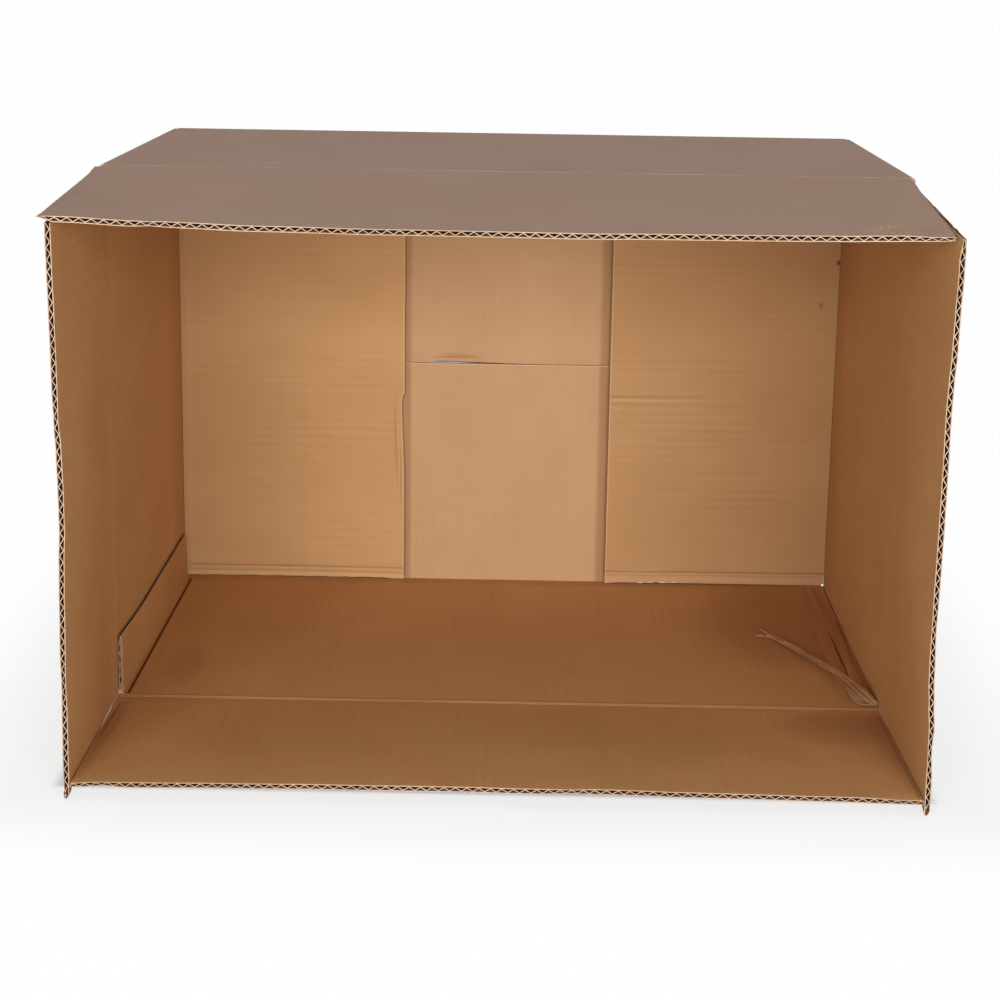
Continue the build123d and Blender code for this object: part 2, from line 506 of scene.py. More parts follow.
@dataclass(frozen=True)
class Bow(Wear):
    """A free edge that wanders off the board's plane between measured stations."""

    stations: tuple[tuple[float, float], ...]
    end: float
    start: float = 3 * MM
    power: float = 1.0

    def lift(self, across: np.ndarray) -> np.ndarray:
        """How far the edge stands off the plane at places across the flutes."""
        places, lifts = (np.array(row) * MM for row in zip(*sorted(self.stations)))
        index = np.clip(np.searchsorted(places, across) - 1, 0, len(places) - 2)
        share = (across - places[index]) / (places[index + 1] - places[index])
        return lifts[index] + (lifts[index + 1] - lifts[index]) * smoothstep(share)

    def apply(self, points: np.ndarray) -> np.ndarray:
        """Points lifted more and more on their way from the fold."""
        moved = points.copy()
        share = smoothstep((points[:, 1] - self.start) / (self.end - self.start)) ** self.power
        moved[:, 2] += share * self.lift(points[:, 0])
        return moved


@dataclass(frozen=True)
class Bulge(Wear):
    """A free edge that stands off the plane between two limits."""

    edge: float
    reach: float
    height: float
    half_width: float
    soft: float = 10 * MM

    def apply(self, points: np.ndarray) -> np.ndarray:
        """Points lifted near the edge."""
        moved = points.copy()
        share = smoothstep((points[:, 1] - self.edge + self.reach) / self.reach)
        share = share * smoothstep((self.half_width - np.abs(points[:, 0])) / self.soft)
        moved[:, 2] += self.height * share
        return moved


@dataclass(frozen=True)
class Flare(Wear):
    """A side that widens towards the mouth of the box."""

    side: float
    widening: float
    start: float
    length: float

    def apply(self, points: np.ndarray) -> np.ndarray:
        """Points spread across the flutes near the mouth."""
        moved = points.copy()
        share = np.clip((self.start + self.length - points[:, 1]) / self.length, 0, 1) ** 1.4
        moved[:, 0] *= 1 + share * self.widening / abs(self.side)
        return moved


class Signal:
    """A shader socket that takes part in Python arithmetic."""

    def __init__(self, bench: "NodeBench", socket: bpy.types.NodeSocket) -> None:
        """Wraps one output of the bench's material."""
        self.bench = bench
        self.socket = socket

    def _with(self, operation: str, first: object, second: object) -> "Signal":
        """One Math node on two values."""
        return self.bench.node("ShaderNodeMath", {"operation": operation}, {0: first, 1: second})

    def __add__(self, other: object) -> "Signal":
        """Sum."""
        return self._with("ADD", self, other)

    def __sub__(self, other: object) -> "Signal":
        """Difference."""
        return self._with("SUBTRACT", self, other)

    def __rsub__(self, other: object) -> "Signal":
        """Difference from a number."""
        return self._with("SUBTRACT", other, self)

    def __mul__(self, other: object) -> "Signal":
        """Product."""
        return self._with("MULTIPLY", self, other)

    def __truediv__(self, other: object) -> "Signal":
        """Quotient."""
        return self._with("DIVIDE", self, other)

    def __pow__(self, other: object) -> "Signal":
        """Power."""
        return self._with("POWER", self, other)

    __radd__ = __add__
    __rmul__ = __mul__


class NodeBench:
    """Builds one node material."""

    def __init__(self, name: str) -> None:
        """Makes an empty material with nodes."""
        self.material = bpy.data.materials.new(name)
        self.material.use_nodes = True
        self.tree = self.material.node_tree
        self.tree.nodes.clear()

    def node(self, kind: str, settings: dict | None = None, inputs: dict | None = None,
             output: int | str = 0) -> Signal:
        """Adds a node.

        Args:
            kind: The node's type.
            settings: Its properties; the key stops gives a ramp's places and colours.
            inputs: Values or signals by socket name or number.
            output: The socket that is wanted, by name or number.

        Returns:
            That output.
        """
        made = self.tree.nodes.new(kind)
        for key, value in (settings or {}).items():
            if key == "stops":
                self._set_stops(made.color_ramp, value)
            else:
                setattr(made, key, value)
        for key, value in (inputs or {}).items():
            if isinstance(value, Signal):
                self.tree.links.new(value.socket, made.inputs[key])
            else:
                made.inputs[key].default_value = value
        return Signal(self, made.outputs[output])

    @staticmethod
    def _set_stops(ramp: bpy.types.ColorRamp, stops: Sequence[tuple[float, Colour]]) -> None:
        """Gives a ramp its stops."""
        while len(ramp.elements) < len(stops):
            ramp.elements.new(0.5)
        for element, (place, colour) in zip(ramp.elements, stops):
            element.position = place
            element.color = colour

    def mix(self, share: object, first: object, second: object) -> Signal:
        """Blends two colours by a share."""
        return self.node("ShaderNodeMix", {"data_type": "RGBA"}, {0: share, 6: first, 7: second}, 2)

    def window(self, value: Signal, low: float, high: float) -> Signal:
        """Eases from 0 to 1 as a value goes from low to high."""
        return self.node(
            "ShaderNodeMapRange", {"interpolation_type": "SMOOTHSTEP"}, {0: value, 1: low, 2: high}
        )

    def noise(self, vector: Signal, scale: float, detail: float = 2, roughness: float = 0.5) -> Signal:
        """Noise from 0 to 1 over a vector."""
        return self.node(
            "ShaderNodeTexNoise", {},
            {"Vector": vector, "Scale": scale, "Detail": detail, "Roughness": roughness},
        )

    def stretched(self, vector: Signal, scale: tuple[float, float, float]) -> Signal:
        """A vector with each axis scaled."""
        return self.node("ShaderNodeVectorMath", {"operation": "MULTIPLY"}, {0: vector, 1: scale})

    def bump(self, height: Signal) -> Signal:
        """A normal from a height in metres."""
        return self.node("ShaderNodeBump", {}, {"Strength": 1, "Distance": 1, "Height": height}, "Normal")

    def finish(self, colour: object, roughness: object, normal: Signal | None,
               **constants: object) -> bpy.types.Material:
        """Closes the material with its shader.

        Args:
            colour: Base colour.
            roughness: Roughness.
            normal: Normal, if it has one.
            **constants: Other sockets of the shader, with underscores for spaces.

        Returns:
            The material.
        """
        inputs = {"Base Color": colour, "Roughness": roughness}
        if normal is not None:
            inputs["Normal"] = normal
        inputs.update({key.replace("_", " "): value for key, value in constants.items()})
        shader = self.node("ShaderNodeBsdfPrincipled", {}, inputs)
        self.node_output(shader)
        return self.material

    def node_output(self, shader: Signal) -> None:
        """Joins a shader to the material's surface."""
        output = self.tree.nodes.new("ShaderNodeOutputMaterial")
        self.tree.links.new(shader.socket, output.inputs["Surface"])


@dataclass(frozen=True)
class Mark:
    """A soft spot or stripe of another colour on a board, in the board's own axes."""

    place: tuple[float, float]
    reach: tuple[float, float]
    colour: Colour
    strength: float
    speckle: float = 0.0


EVERYWHERE = 100.0


@dataclass(frozen=True)
class KraftLiner:
    """Brown kraft paper over flutes that show through it."""

    name: str
    pale: Colour
    deep: Colour
    warm: Colour
    fibre: Colour
    flute_tint: float
    flute_height: float
    flute_pitch: float = 7.8 * MM
    roughness: float = 0.78

    def material(self, name: str, marks: Iterable[Mark] = ()) -> bpy.types.Material:
        """Makes the material of one board's liner.

        Args:
            name: The board's name.
            marks: Spots, stains, painted shade and painted highlights on this board alone.

        Returns:
            The material.
        """
        bench = NodeBench(f"{self.name}_{name}")
        sheet = bench.node("ShaderNodeAttribute", {"attribute_name": "sheet"}, {}, "Vector")
        across = bench.node("ShaderNodeSeparateXYZ", {}, {0: sheet}, 0)
        along = bench.node("ShaderNodeSeparateXYZ", {}, {0: sheet}, 1)

        turn = across * (math.tau / self.flute_pitch)
        flutes = bench.node("ShaderNodeMath", {"operation": "SINE"}, {0: turn})
        patchy = bench.noise(bench.stretched(sheet, (3.0, 0.3, 1)), 14, 3)
        shown = bench.window(patchy, 0.35, 0.7)

        cloud = bench.noise(bench.stretched(sheet, (1, 0.6, 1)), 9, 4, 0.6)
        streak = bench.noise(bench.stretched(sheet, (260, 7, 1)), 1, 3, 0.6)
        cross_streak = bench.noise(bench.stretched(sheet, (9, 170, 1)), 1, 3, 0.6)
        felt = bench.noise(bench.stretched(sheet, (1, 0.6, 1)), 900, 3, 0.7)
        hair = bench.noise(bench.stretched(sheet, (420, 1500, 1)), 1, 2, 0.7)
        hue = bench.noise(bench.stretched(sheet, (1, 0.6, 2)), 9, 2, 0.5)

        tone = bench.window(cloud, 0.2, 0.8) * 0.4 + 0.08
        tone = tone + streak * 0.16 + cross_streak * 0.12 + felt * 0.2
        tone = tone + flutes * shown * self.flute_tint
        colour = bench.mix(tone, self.deep, self.pale)
        colour = bench.mix(bench.window(hue, 0.4, 0.75) * 0.28, colour, self.warm)
        colour = bench.mix(bench.window(hair, 0.66, 0.82) * 0.22, colour, self.fibre)
        for mark in marks:
            off_a = (across - mark.place[0]) / mark.reach[0]
            off_b = (along - mark.place[1]) / mark.reach[1]
            off = off_a * off_a + off_b * off_b + (felt - 0.5) * 0.6
            share = (1 - bench.window(off, 0.1, 1.0)) * mark.strength
            if mark.speckle:
                share = share * bench.window(bench.noise(sheet, 1 / mark.speckle, 2, 0.7), 0.52, 0.6)
            colour = bench.mix(share, colour, mark.colour)

        height = flutes * shown * self.flute_height + felt * (0.05 * MM) + streak * (0.06 * MM)
        height = height + cloud * (0.9 * MM)
        return bench.finish(colour, self.roughness, bench.bump(height), **{"Specular IOR Level": 0.2})


@dataclass(frozen=True)
class CutPaper:
    """Raw edge of cut or torn kraft paper, with loose fibres."""

    name: str
    pale: Colour
    deep: Colour
    size: float = 1.2 * MM
    stretch: tuple[float, float, float] = (1.0, 1.0, 1.0)
    relief: float = 0.15 * MM

    def material(self) -> bpy.types.Material:
        """Makes the material."""
        bench = NodeBench(self.name)
        sheet = bench.node("ShaderNodeAttribute", {"attribute_name": "sheet"}, {}, "Vector")
        grain = bench.noise(bench.stretched(sheet, self.stretch), 1 / self.size, 3, 0.65)
        drift = bench.noise(sheet, 18, 2)
        share = bench.window(grain * 0.65 + drift * 0.45, 0.32, 0.75)
        colour = bench.mix(share, self.deep, self.pale)
        return bench.finish(colour, 0.9, bench.bump(grain * self.relief), **{"Specular IOR Level": 0.15})


class Finishes:
    """The finishes of the box, made once and shared."""

    def __init__(self) -> None:
        """Settles the colours of the papers."""
        self.inside = KraftLiner(
            "kraft_inside", srgb(210, 164, 112), srgb(184, 136, 84), srgb(196, 142, 94),
            srgb(152, 108, 64), 0.07, 0.05 * MM,
        )
        self.outside = KraftLiner(
            "kraft_outside", srgb(173, 144, 126), srgb(153, 124, 107), srgb(168, 133, 118),
            srgb(188, 162, 142), 0.04, 0.035 * MM,
        )
        self.back = KraftLiner(
            "kraft_back", srgb(212, 174, 132), srgb(188, 147, 104), srgb(200, 158, 118),
            srgb(164, 122, 80), 0.04, 0.04 * MM,
        )
        self.inner_left = KraftLiner(
            "kraft_inner_left", srgb(216, 174, 125), srgb(190, 145, 94), srgb(203, 152, 106),
            srgb(158, 116, 72), 0.08, 0.05 * MM,
        )
        self.inner_right = KraftLiner(
            "kraft_inner_right", srgb(204, 163, 116), srgb(178, 134, 87), srgb(190, 141, 97),
            srgb(146, 107, 66), 0.08, 0.05 * MM,
        )
        self.edge = CutPaper("cut_edge", srgb(218, 188, 162), srgb(180, 148, 122), 0.9 * MM).material()
        # Partly the fluted sheet's own deeper kraft, partly painted shade: it is coloured darker so the
        # flutes between the liners look shaded.
        self.medium_with_painted_shade = CutPaper("fluted_sheet", srgb(112, 74, 46), srgb(72, 46, 28)).material()
        self.torn = CutPaper(
            "torn_fibres", srgb(206, 164, 126), srgb(142, 102, 68), 0.5 * MM, (1.0, 0.06, 1.0), 0.3 * MM
        ).material()
        self.rough = CutPaper("rough_cut", srgb(216, 176, 146), srgb(160, 116, 88), 1.1 * MM).material()


def layer(sheet: bpy.types.Object, thickness: float, face: bpy.types.Material,
          rim: bpy.types.Material) -> bpy.types.Object:
    """Gives a sheet its thickness.

    Args:
        sheet: The open sheet.
        thickness: Its thickness.
        face: The material of its faces.
        rim: The material of its rim.

    Returns:
        The same object.
    """
    sheet.data.materials.append(face)
    sheet.data.materials.append(rim)
    apply_modifier(sheet, "SOLIDIFY", thickness=thickness, offset=0, material_offset_rim=1)
    return sheet


def smooth_by_angle(obj: bpy.types.Object, degrees: float) -> None:
    """Shades a mesh smooth, apart from edges sharper than an angle."""
    select_only(obj)
    bpy.ops.object.shade_smooth_by_angle(angle=math.radians(degrees))


@dataclass
class Board:
    """A piece of corrugated board with two liners and, where its edges show, its fluted sheet.

    Its own axes are across the flutes, along them from its fold, and out of its inner face.
    """

    name: str
    place: Placing
    low: Span
    high: Span
    start: float
    end: float
    finishes: Finishes
    cell: float = 5 * MM
    fluted: bool = True
    wear: list[Wear] = field(default_factory=list)
    inside_marks: list[Mark] = field(default_factory=list)
    outside_marks: list[Mark] = field(default_factory=list)
    offset: float = 0.0
    paper: KraftLiner | None = None
    liner: float = 0.6 * MM
    sheet: float = 0.6 * MM
    pitch: float = 7.8 * MM
    samples: int = 12

    def build(self) -> bpy.types.Object:
        """Models the board and lays it in its place.

        Returns:
            The finished mesh object.
        """
        level = CARTON.half - self.liner / 2
        inner = self.paper or self.finishes.inside
        layers = [
            self._liner("inner", level, inner.material(self.name, self.inside_marks)),
            self._liner("outer", -level, self.finishes.outside.material(self.name, self.outside_marks)),
        ]
        if self.fluted:
            layers.append(self._fluted_sheet())
        board = join(self.name, layers)
        remember_sheet(board, self.offset)
        points = points_of(board)
        for wear in self.wear:
            points = wear.apply(points)
        set_points(board, points)
        board.data.transform(self.place.matrix())
        smooth_by_angle(board, 35)
        return board

    def _grid(self, side: str, across_cell: float, along_cell: float) -> bpy.types.Object:
        """A flat sheet with both its sides cut to their lines."""
        low = min(self.low.at_fold, self.low.at_edge)
        high = max(self.high.at_fold, self.high.at_edge)
        sheet = grid_sheet(
            f"{self.name}_{side}", low, high, self.start, self.end,
            max(2, round((high - low) / across_cell)), max(3, round((self.end - self.start) / along_cell)),
        )
        run = self.end - self.start
        for span, way in ((self.low, -1), (self.high, 1)):
            lean = span.at_edge - span.at_fold
            if lean:
                cut_away(sheet, Vector((span.at_fold, self.start, 0)), Vector((way * run, -way * lean, 0)))
        return sheet

    def _liner(self, side: str, level: float, face: bpy.types.Material) -> bpy.types.Object:
        """One flat liner at its level."""
        sheet = self._grid(side, self.cell, self.cell)
        points = points_of(sheet)
        points[:, 2] = level
        set_points(sheet, points)
        return layer(sheet, self.liner, face, self.finishes.edge)

    def _fluted_sheet(self) -> bpy.types.Object:
        """The wavy sheet between the liners."""
        sheet = self._grid("flutes", self.pitch / self.samples, 20 * MM)
        points = points_of(sheet)
        turn = points[:, 0] * math.tau / self.pitch
        crest = CARTON.half - self.liner - self.sheet / 2
        points[:, 2] = crest * (np.sin(turn) - 0.1 * np.sin(3 * turn)) / 1.1
        set_points(sheet, points)
        return layer(sheet, self.sheet, self.finishes.medium_with_painted_shade, self.finishes.edge)


@dataclass(frozen=True)
class Ridge:
    """A raised or sunk line beside a fold, over a stretch of the fold's length."""

    off: float
    width: float
    height: float
    stretch: tuple[float, float] = (-1.0, 2.0)
    wander: float = 0.0
    seed: float = 1.0

    def rise(self, off: np.ndarray, run: np.ndarray) -> np.ndarray:
        """Height at distances from the fold and places along it."""
        start, end = self.stretch
        share = smoothstep((run - start) / (14 * MM)) * smoothstep((end - run) / (14 * MM))
        centre = self.off + self.wander * ripple(run, run * 0, 60 * MM, self.seed)
        swing = 1 + 0.25 * ripple(run, run * 0, 23 * MM, self.seed + 3)
        return self.height * share * swing * np.exp(-(((off - centre) / self.width) ** 2))


@dataclass(frozen=True)
class Pleat(Ridge):
    """A flat pleat pressed into the board beside a fold, between two lines that needn't be level.

    Each line is a list of places along the fold and distances from it.
    """

    near_line: tuple[tuple[float, float], ...] = ()
    far_line: tuple[tuple[float, float], ...] = ()

    def rise(self, off: np.ndarray, run: np.ndarray) -> np.ndarray:
        """Height at distances from the fold and places along it."""
        near, far = (
            np.interp(run / MM, *(np.array(row) for row in zip(*line))) * MM
            for line in (self.near_line, self.far_line)
        )
        torn = self.wander * ripple(run, run * 0, 11 * MM, self.seed)
        share = smoothstep((off - near - torn) / self.width) * smoothstep((far - torn - off) / self.width)
        return self.height * share * (1 + 0.15 * ripple(run, off * 2, 30 * MM, self.seed + 2))


@dataclass
class CornerFold:
    """A sharp fold between two panels of the sheet, bent round a corner and swept along it.

    Its profile is drawn from the outer corner: one panel comes along the first way and the
    other leaves along the second.
    """

    name: str
    corner: Vector
    first: Vector
    second: Vector
    sweep: Vector
    length: float
    finishes: Finishes
    first_reach: float = 8 * MM
    second_reach: float = 8 * MM
    ridges: tuple[Ridge, ...] = (Ridge(0.0, 1.6 * MM, 0.7 * MM),)
    marks: tuple[Mark, ...] = ()
    offset: float = 0.0
    arc_steps: int = 8
    cell: float = 6 * MM
    fine: float = 1.0 * MM
    proud: float = 0.04 * MM

    def _outer(self) -> list[tuple[float, float]]:
        """Outer side of the profile, from the first panel to the second."""
        r, proud = CARTON.fold_radius, 0.02 * MM
        points = [(-self.first_reach, -proud)]
        for step in range(self.arc_steps + 1):
            angle = math.pi / 2 * step / self.arc_steps
            points.append((-r + (r + proud) * math.sin(angle), r - (r + proud) * math.cos(angle)))
        points.append((proud, self.second_reach))
        return points

    def _inner(self) -> list[tuple[float, float]]:
        """Inner side of the profile, back from the second panel."""
        face = CARTON.board + self.proud
        first_steps = max(1, round((self.first_reach - face) / self.fine))
        second_steps = max(0, round((self.second_reach - face) / self.fine))
        points = [
            (-face, face + (self.second_reach - face) * step / second_steps)
            for step in range(second_steps, 0, -1)
        ]
        points += [
            (-face - (self.first_reach - face) * step / first_steps, face)
            for step in range(first_steps + 1)
        ]
        return points

    def build(self) -> bpy.types.Object:
        """Models the fold in its place.

        Returns:
            The finished mesh object.
        """
        ring = self._outer() + self._inner()
        mesh = bpy.data.meshes.new(self.name)
        mesh.from_pydata([(a, b, 0) for a, b in ring], [], [list(range(len(ring)))])
        fold = bpy.data.objects.new(self.name, mesh)
        bpy.context.collection.objects.link(fold)
        mesh.materials.append(self.finishes.inside.material(self.name, self.marks))
        mesh.materials.append(self.finishes.outside.material(self.name))
        mesh.materials.append(self.finishes.edge)
        select_only(fold)
        bpy.ops.object.mode_set(mode="EDIT")
        bpy.ops.mesh.select_all(action="SELECT")
        bpy.ops.mesh.extrude_region_move(TRANSFORM_OT_translate={"value": (0, 0, self.length)})
        steps = max(2, round(self.length / self.cell))
        for step in range(1, steps):
            bpy.ops.mesh.select_all(action="SELECT")
            bpy.ops.mesh.bisect(plane_co=(0, 0, self.length * step / steps), plane_no=(0, 0, 1))
        bpy.ops.object.mode_set(mode="OBJECT")
        self._paint_sides(fold)
        self._raise_ridges(fold)
        turn = Matrix((self.first, self.second, self.sweep)).transposed().to_4x4()
        fold.data.transform(Matrix.Translation(self.corner) @ turn)
        select_only(fold)
        bpy.ops.object.mode_set(mode="EDIT")
        bpy.ops.mesh.select_all(action="SELECT")
        bpy.ops.mesh.normals_make_consistent(inside=False)
        bpy.ops.object.mode_set(mode="OBJECT")
        smooth_by_angle(fold, 50)
        return fold

    def _raise_ridges(self, fold: bpy.types.Object) -> None:
        """Shapes the inner side and keeps each vertex's place on the sheet."""
        points = points_of(fold)
        a, b, run = points[:, 0].copy(), points[:, 1].copy(), points[:, 2]
        inner = (a < -CARTON.half) & (b > CARTON.half)
        on_first = inner & (b < CARTON.board + 2 * self.proud)
        on_second = inner & (a > -CARTON.board - 2 * self.proud)
        off = np.where(on_first, -a - CARTON.board, b - CARTON.board)
        rise = sum(
            (ridge.rise(np.where(on_first, off, off if ridge.off == 0 else EVERYWHERE), run)
             for ridge in self.ridges),
            np.zeros(len(points)),
        )
        points[:, 1] += np.where(on_first, rise, 0)
        points[:, 0] -= np.where(on_second, rise, 0)
        set_points(fold, points)
        unrolled = np.where(inner, np.where(on_first, -off, off), a + b)
        sheet = np.column_stack((unrolled, run, a * 0 + self.offset))
        kept = fold.data.attributes.new("sheet", "FLOAT_VECTOR", "POINT")
        kept.data.foreach_set("vector", sheet.astype(np.float32).ravel())

    @staticmethod
    def _paint_sides(fold: bpy.types.Object) -> None:
        """Gives the outer side, the inner side and the ends their papers."""
        for face in fold.data.polygons:
            a, b, _ = face.center
            if abs(face.normal.z) > 0.9:
                face.material_index = 2
            elif a < -CARTON.half and b > CARTON.half:
                face.material_index = 0
            else:
                face.material_index = 1


@dataclass
class CreaseCover:
    """The liners that run through a mouth flap's crease, raised inside and scored outside."""

    name: str
    body: Body
    place: Placing
    low: float
    high: float
    angle: float
    finishes: Finishes
    ridge: float
    groove: float
    offset: float = 0.0
    ridge_place: float = 0.0
    reach: float = 11 * MM
    bend: float = 2.5 * MM
    liner: float = 0.4 * MM
    marks: tuple[Mark, ...] = ()

    def build(self) -> bpy.types.Object:
        """Models both liners and bends them over the crease.

        Returns:
            The finished mesh object.
        """
        cover = join(self.name, [
            self._band("inner", 1, self.finishes.inside.material(self.name, self.marks)),
            self._band("outer", -1, self.finishes.outside.material(self.name)),
        ])
        remember_sheet(cover, self.offset)
        points = points_of(cover)
        turn = smoothstep((points[:, 1] / self.bend + 1) / 2) * self.angle
        y, z = points[:, 1].copy(), points[:, 2].copy()
        points[:, 1] = y * np.cos(turn) - z * np.sin(turn)
        points[:, 2] = y * np.sin(turn) + z * np.cos(turn)
        set_points(cover, points)
        cover.data.transform(self.place.matrix())
        smooth_by_angle(cover, 50)
        step = self.place.outward * self.bend
        before, after = self.place.origin - step, self.place.origin + step
        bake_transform(cover)
        return cover

    def _band(self, side: str, sign: int, face: bpy.types.Material) -> bpy.types.Object:
        """One liner over the crease, on one side of the board."""
        across = max(4, round((self.high - self.low) / (6 * MM)))
        band = grid_sheet(f"{self.name}_{side}", self.low, self.high, -self.reach, self.reach, across, 36)
        points = points_of(band)
        y = points[:, 1]
        proud = 0.06 * MM * smoothstep((self.reach - np.abs(y)) / (3 * MM)) - 0.04 * MM
        level = CARTON.half + proud - self.liner / 2
        wobble = 1 + 0.25 * ripple(points[:, 0], y * 0, 70 * MM, self.offset + 3)
        middle = 0.5 * MM * ripple(points[:, 0], y * 0, 110 * MM, self.offset + 8)
        if sign > 0:
            middle = middle + self.ridge_place
            crest = np.exp(-((y - middle) / (2.0 * MM)) ** 2)
            hollow = np.exp(-((y - middle - 4.4 * MM) / (2.2 * MM)) ** 2)
            level = level + self.ridge * wobble * (crest - 0.3 * hollow)
        else:
            level = level - self.groove * wobble * np.exp(-((y - middle) / (2.2 * MM)) ** 2)
        points[:, 2] = sign * level
        set_points(band, points)
        return layer(band, self.liner, face, face)


@dataclass
class PeeledCorner:
    """A free corner of a board whose layers are drawn out to one point."""

    name: str
    place: Placing
    root: float
    way: int
    reach: float
    edge: float
    depth: float
    tip_level: float
    finishes: Finishes
    offset: float
    steps: int = 26
    pitch: float = 7.8 * MM

    def build(self) -> bpy.types.Object:
        """Models the three layers.

        Returns:
            The finished mesh object.
        """
        outer_level = CARTON.half - 0.3 * MM
        piece = join(self.name, [
            self._layer("inner", outer_level, 0.0, 0.42 * MM, self.finishes.inside.material(self.name)),
            self._layer("outer", -outer_level, 0.0, 0.42 * MM, self.finishes.outside.material(self.name)),
            self._layer("flutes", 0.0, 0.9 * MM, 1.3 * MM, self.finishes.medium_with_painted_shade),
        ])
        remember_sheet(piece, self.offset)
        piece.data.transform(self.place.matrix())
        smooth_by_angle(piece, 40)
        return piece

    def _layer(self, side: str, level: float, wave: float, thickness: float,
               face: bpy.types.Material) -> bpy.types.Object:
        """One layer of the corner, from the board's end to the point."""
        sheet = grid_sheet(f"{self.name}_{side}", 0, 1, 0, 1, self.steps, 6)
        points = points_of(sheet)
        t, v = points[:, 0].copy(), points[:, 1].copy()
        reach = 0.8 * MM + (self.reach - 0.8 * MM) * (1 - v) ** 1.5
        out = t * reach
        pull = smoothstep((out / self.reach - 0.4) / 0.8) * 0.85
        ruffle = 0.25 * MM * ripple(out, v * 8 * MM, 7 * MM, self.offset + level / MM)
        a = self.root + self.way * (out - 0.3 * MM)
        crest = wave * (1 - pull) * np.sin(a * math.tau / self.pitch)
        points[:, 0] = a
        points[:, 1] = self.edge - v * self.depth + 0.5 * ruffle * t
        points[:, 2] = level * (1 - pull) + self.tip_level * pull + crest + ruffle * t
        set_points(sheet, points)
        rim = self.finishes.medium_with_painted_shade if wave else self.finishes.edge
        return layer(sheet, thickness, face, rim)


def route_point(route: Sequence[Vector], share: float) -> Vector:
    """A point on a smooth curve through all the points of a route."""
    place = share * (len(route) - 1)
    index = min(int(place), len(route) - 2)
    t = place - index
    before, first = route[max(index - 1, 0)], route[index]
    second, after = route[index + 1], route[min(index + 2, len(route) - 1)]
    bend = 2 * before - 5 * first + 4 * second - after
    turn = 3 * first - before - 3 * second + after
    return 0.5 * (2 * first + (second - before) * t + bend * t * t + turn * t * t * t)


@dataclass(frozen=True)
class Shred:
    """A torn ribbon of board along a route, with ragged sides and long ridges of fibre."""

    name: str
    route: tuple[Vector, ...]
    widths: tuple[float, ...]
    thickness: float
    roll: tuple[float, ...] = (0.0, 0.0)
    ridges: float = 2.0
    ridge_height: float = 0.35 * MM
    ragged: float = 0.12
    across: int = 12
    along: int = 60
    seed: float = 1.0

    def build(self, finish: bpy.types.Material) -> bpy.types.Object:
        """Models the ribbon.

        Args:
            finish: Its material.

        Returns:
            The finished mesh object.
        """
        sheet = grid_sheet(self.name, -0.5, 0.5, 0, 1, self.across, self.along)
        points = points_of(sheet)
        kept = np.empty_like(points)
        widths = [Vector((width, 0, 0)) for width in self.widths]
        rolls = [Vector((angle, 0, 0)) for angle in self.roll]
        for index, (u, v, _) in enumerate(points):
            share = min(max(v, 0.0), 1.0)
            place = route_point(self.route, share)
            ahead = route_point(self.route, min(share + 0.01, 1))
            ahead = ahead - route_point(self.route, max(share - 0.01, 0))
            ahead.normalize()
            side = ahead.cross(Vector((0, 0, 1))).normalized()
            side.rotate(Matrix.Rotation(math.radians(route_point(rolls, share).x), 3, ahead))
            rise = side.cross(ahead)
            run = share * 0.2
            fray = ripple(np.array(run), np.array(math.copysign(0.01, u)), 11 * MM, self.seed)
            width = route_point(widths, share).x * (1 + self.ragged * float(fray))
            relief = math.cos(math.tau * self.ridges * u + 3 * share) * self.ridge_height
            relief += 0.2 * MM * float(ripple(np.array(run), np.array(u * 0.01), 9 * MM, self.seed + 5))
            points[index] = place + side * (u * width) + rise * relief
            kept[index] = (u * width, run, self.seed)
        set_points(sheet, points)
        attribute = sheet.data.attributes.new("sheet", "FLOAT_VECTOR", "POINT")
        attribute.data.foreach_set("vector", kept.astype(np.float32).ravel())
        layer(sheet, self.thickness, finish, finish)
        smooth_by_angle(sheet, 60)
        return sheet


@dataclass(frozen=True)
class RoughStrip:
    """The face of a knife-cut edge whose flutes are pressed shut into rough paper."""

    name: str
    low: Vector
    high: Vector
    roughness: float = 0.3 * MM

    def build(self, finish: bpy.types.Material, offset: float) -> bpy.types.Object:
        """Models the strip from a block.

        Args:
            finish: Its material.
            offset: Its own stretch of pattern.

        Returns:
            The finished mesh object.
        """
        size, middle = self.high - self.low, (self.high + self.low) / 2
        bpy.ops.object.select_all(action="DESELECT")
        bpy.ops.mesh.primitive_cube_add(size=1)
        strip = bpy.context.object
        strip.name = self.name
        select_only(strip)
        bpy.ops.object.mode_set(mode="EDIT")
        for cut in range(1, 40):
            bpy.ops.mesh.select_all(action="SELECT")
            bpy.ops.mesh.bisect(plane_co=(0, 0, cut / 40 - 0.5), plane_no=(0, 0, 1))
        for cut in (-0.25, 0, 0.25):
            bpy.ops.mesh.select_all(action="SELECT")
            bpy.ops.mesh.bisect(plane_co=(cut, 0, 0), plane_no=(1, 0, 0))
        bpy.ops.object.mode_set(mode="OBJECT")
        points = points_of(strip) * np.array(size) + np.array(middle)
        remember = points.copy()
        points[:, 0] += self.roughness * ripple(points[:, 2], points[:, 0] * 4, 9 * MM, 1.0)
        points[:, 1] += self.roughness * ripple(points[:, 2], points[:, 0] * 4, 6 * MM, 2.0)
        set_points(strip, points)
        kept = strip.data.attributes.new("sheet", "FLOAT_VECTOR", "POINT")
        remember[:, 1] += offset
        kept.data.foreach_set("vector", remember.astype(np.float32).ravel())
        strip.data.materials.append(finish)
        smooth_by_angle(strip, 60)
        return strip


def deliver(piece: bpy.types.Object, body: Body, slot: str = "kraft_board", *replaced: str) -> None:
    """Hands a finished piece to the frame and logs its size.

    Args:
        piece: The piece.
        body: The body that it moves with.
        slot: The record's material slot. Not used.
        *replaced: The nodes that it stands for.
    """
    if replaced:
        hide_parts(*replaced)
    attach(piece, body.value)
    report(piece)


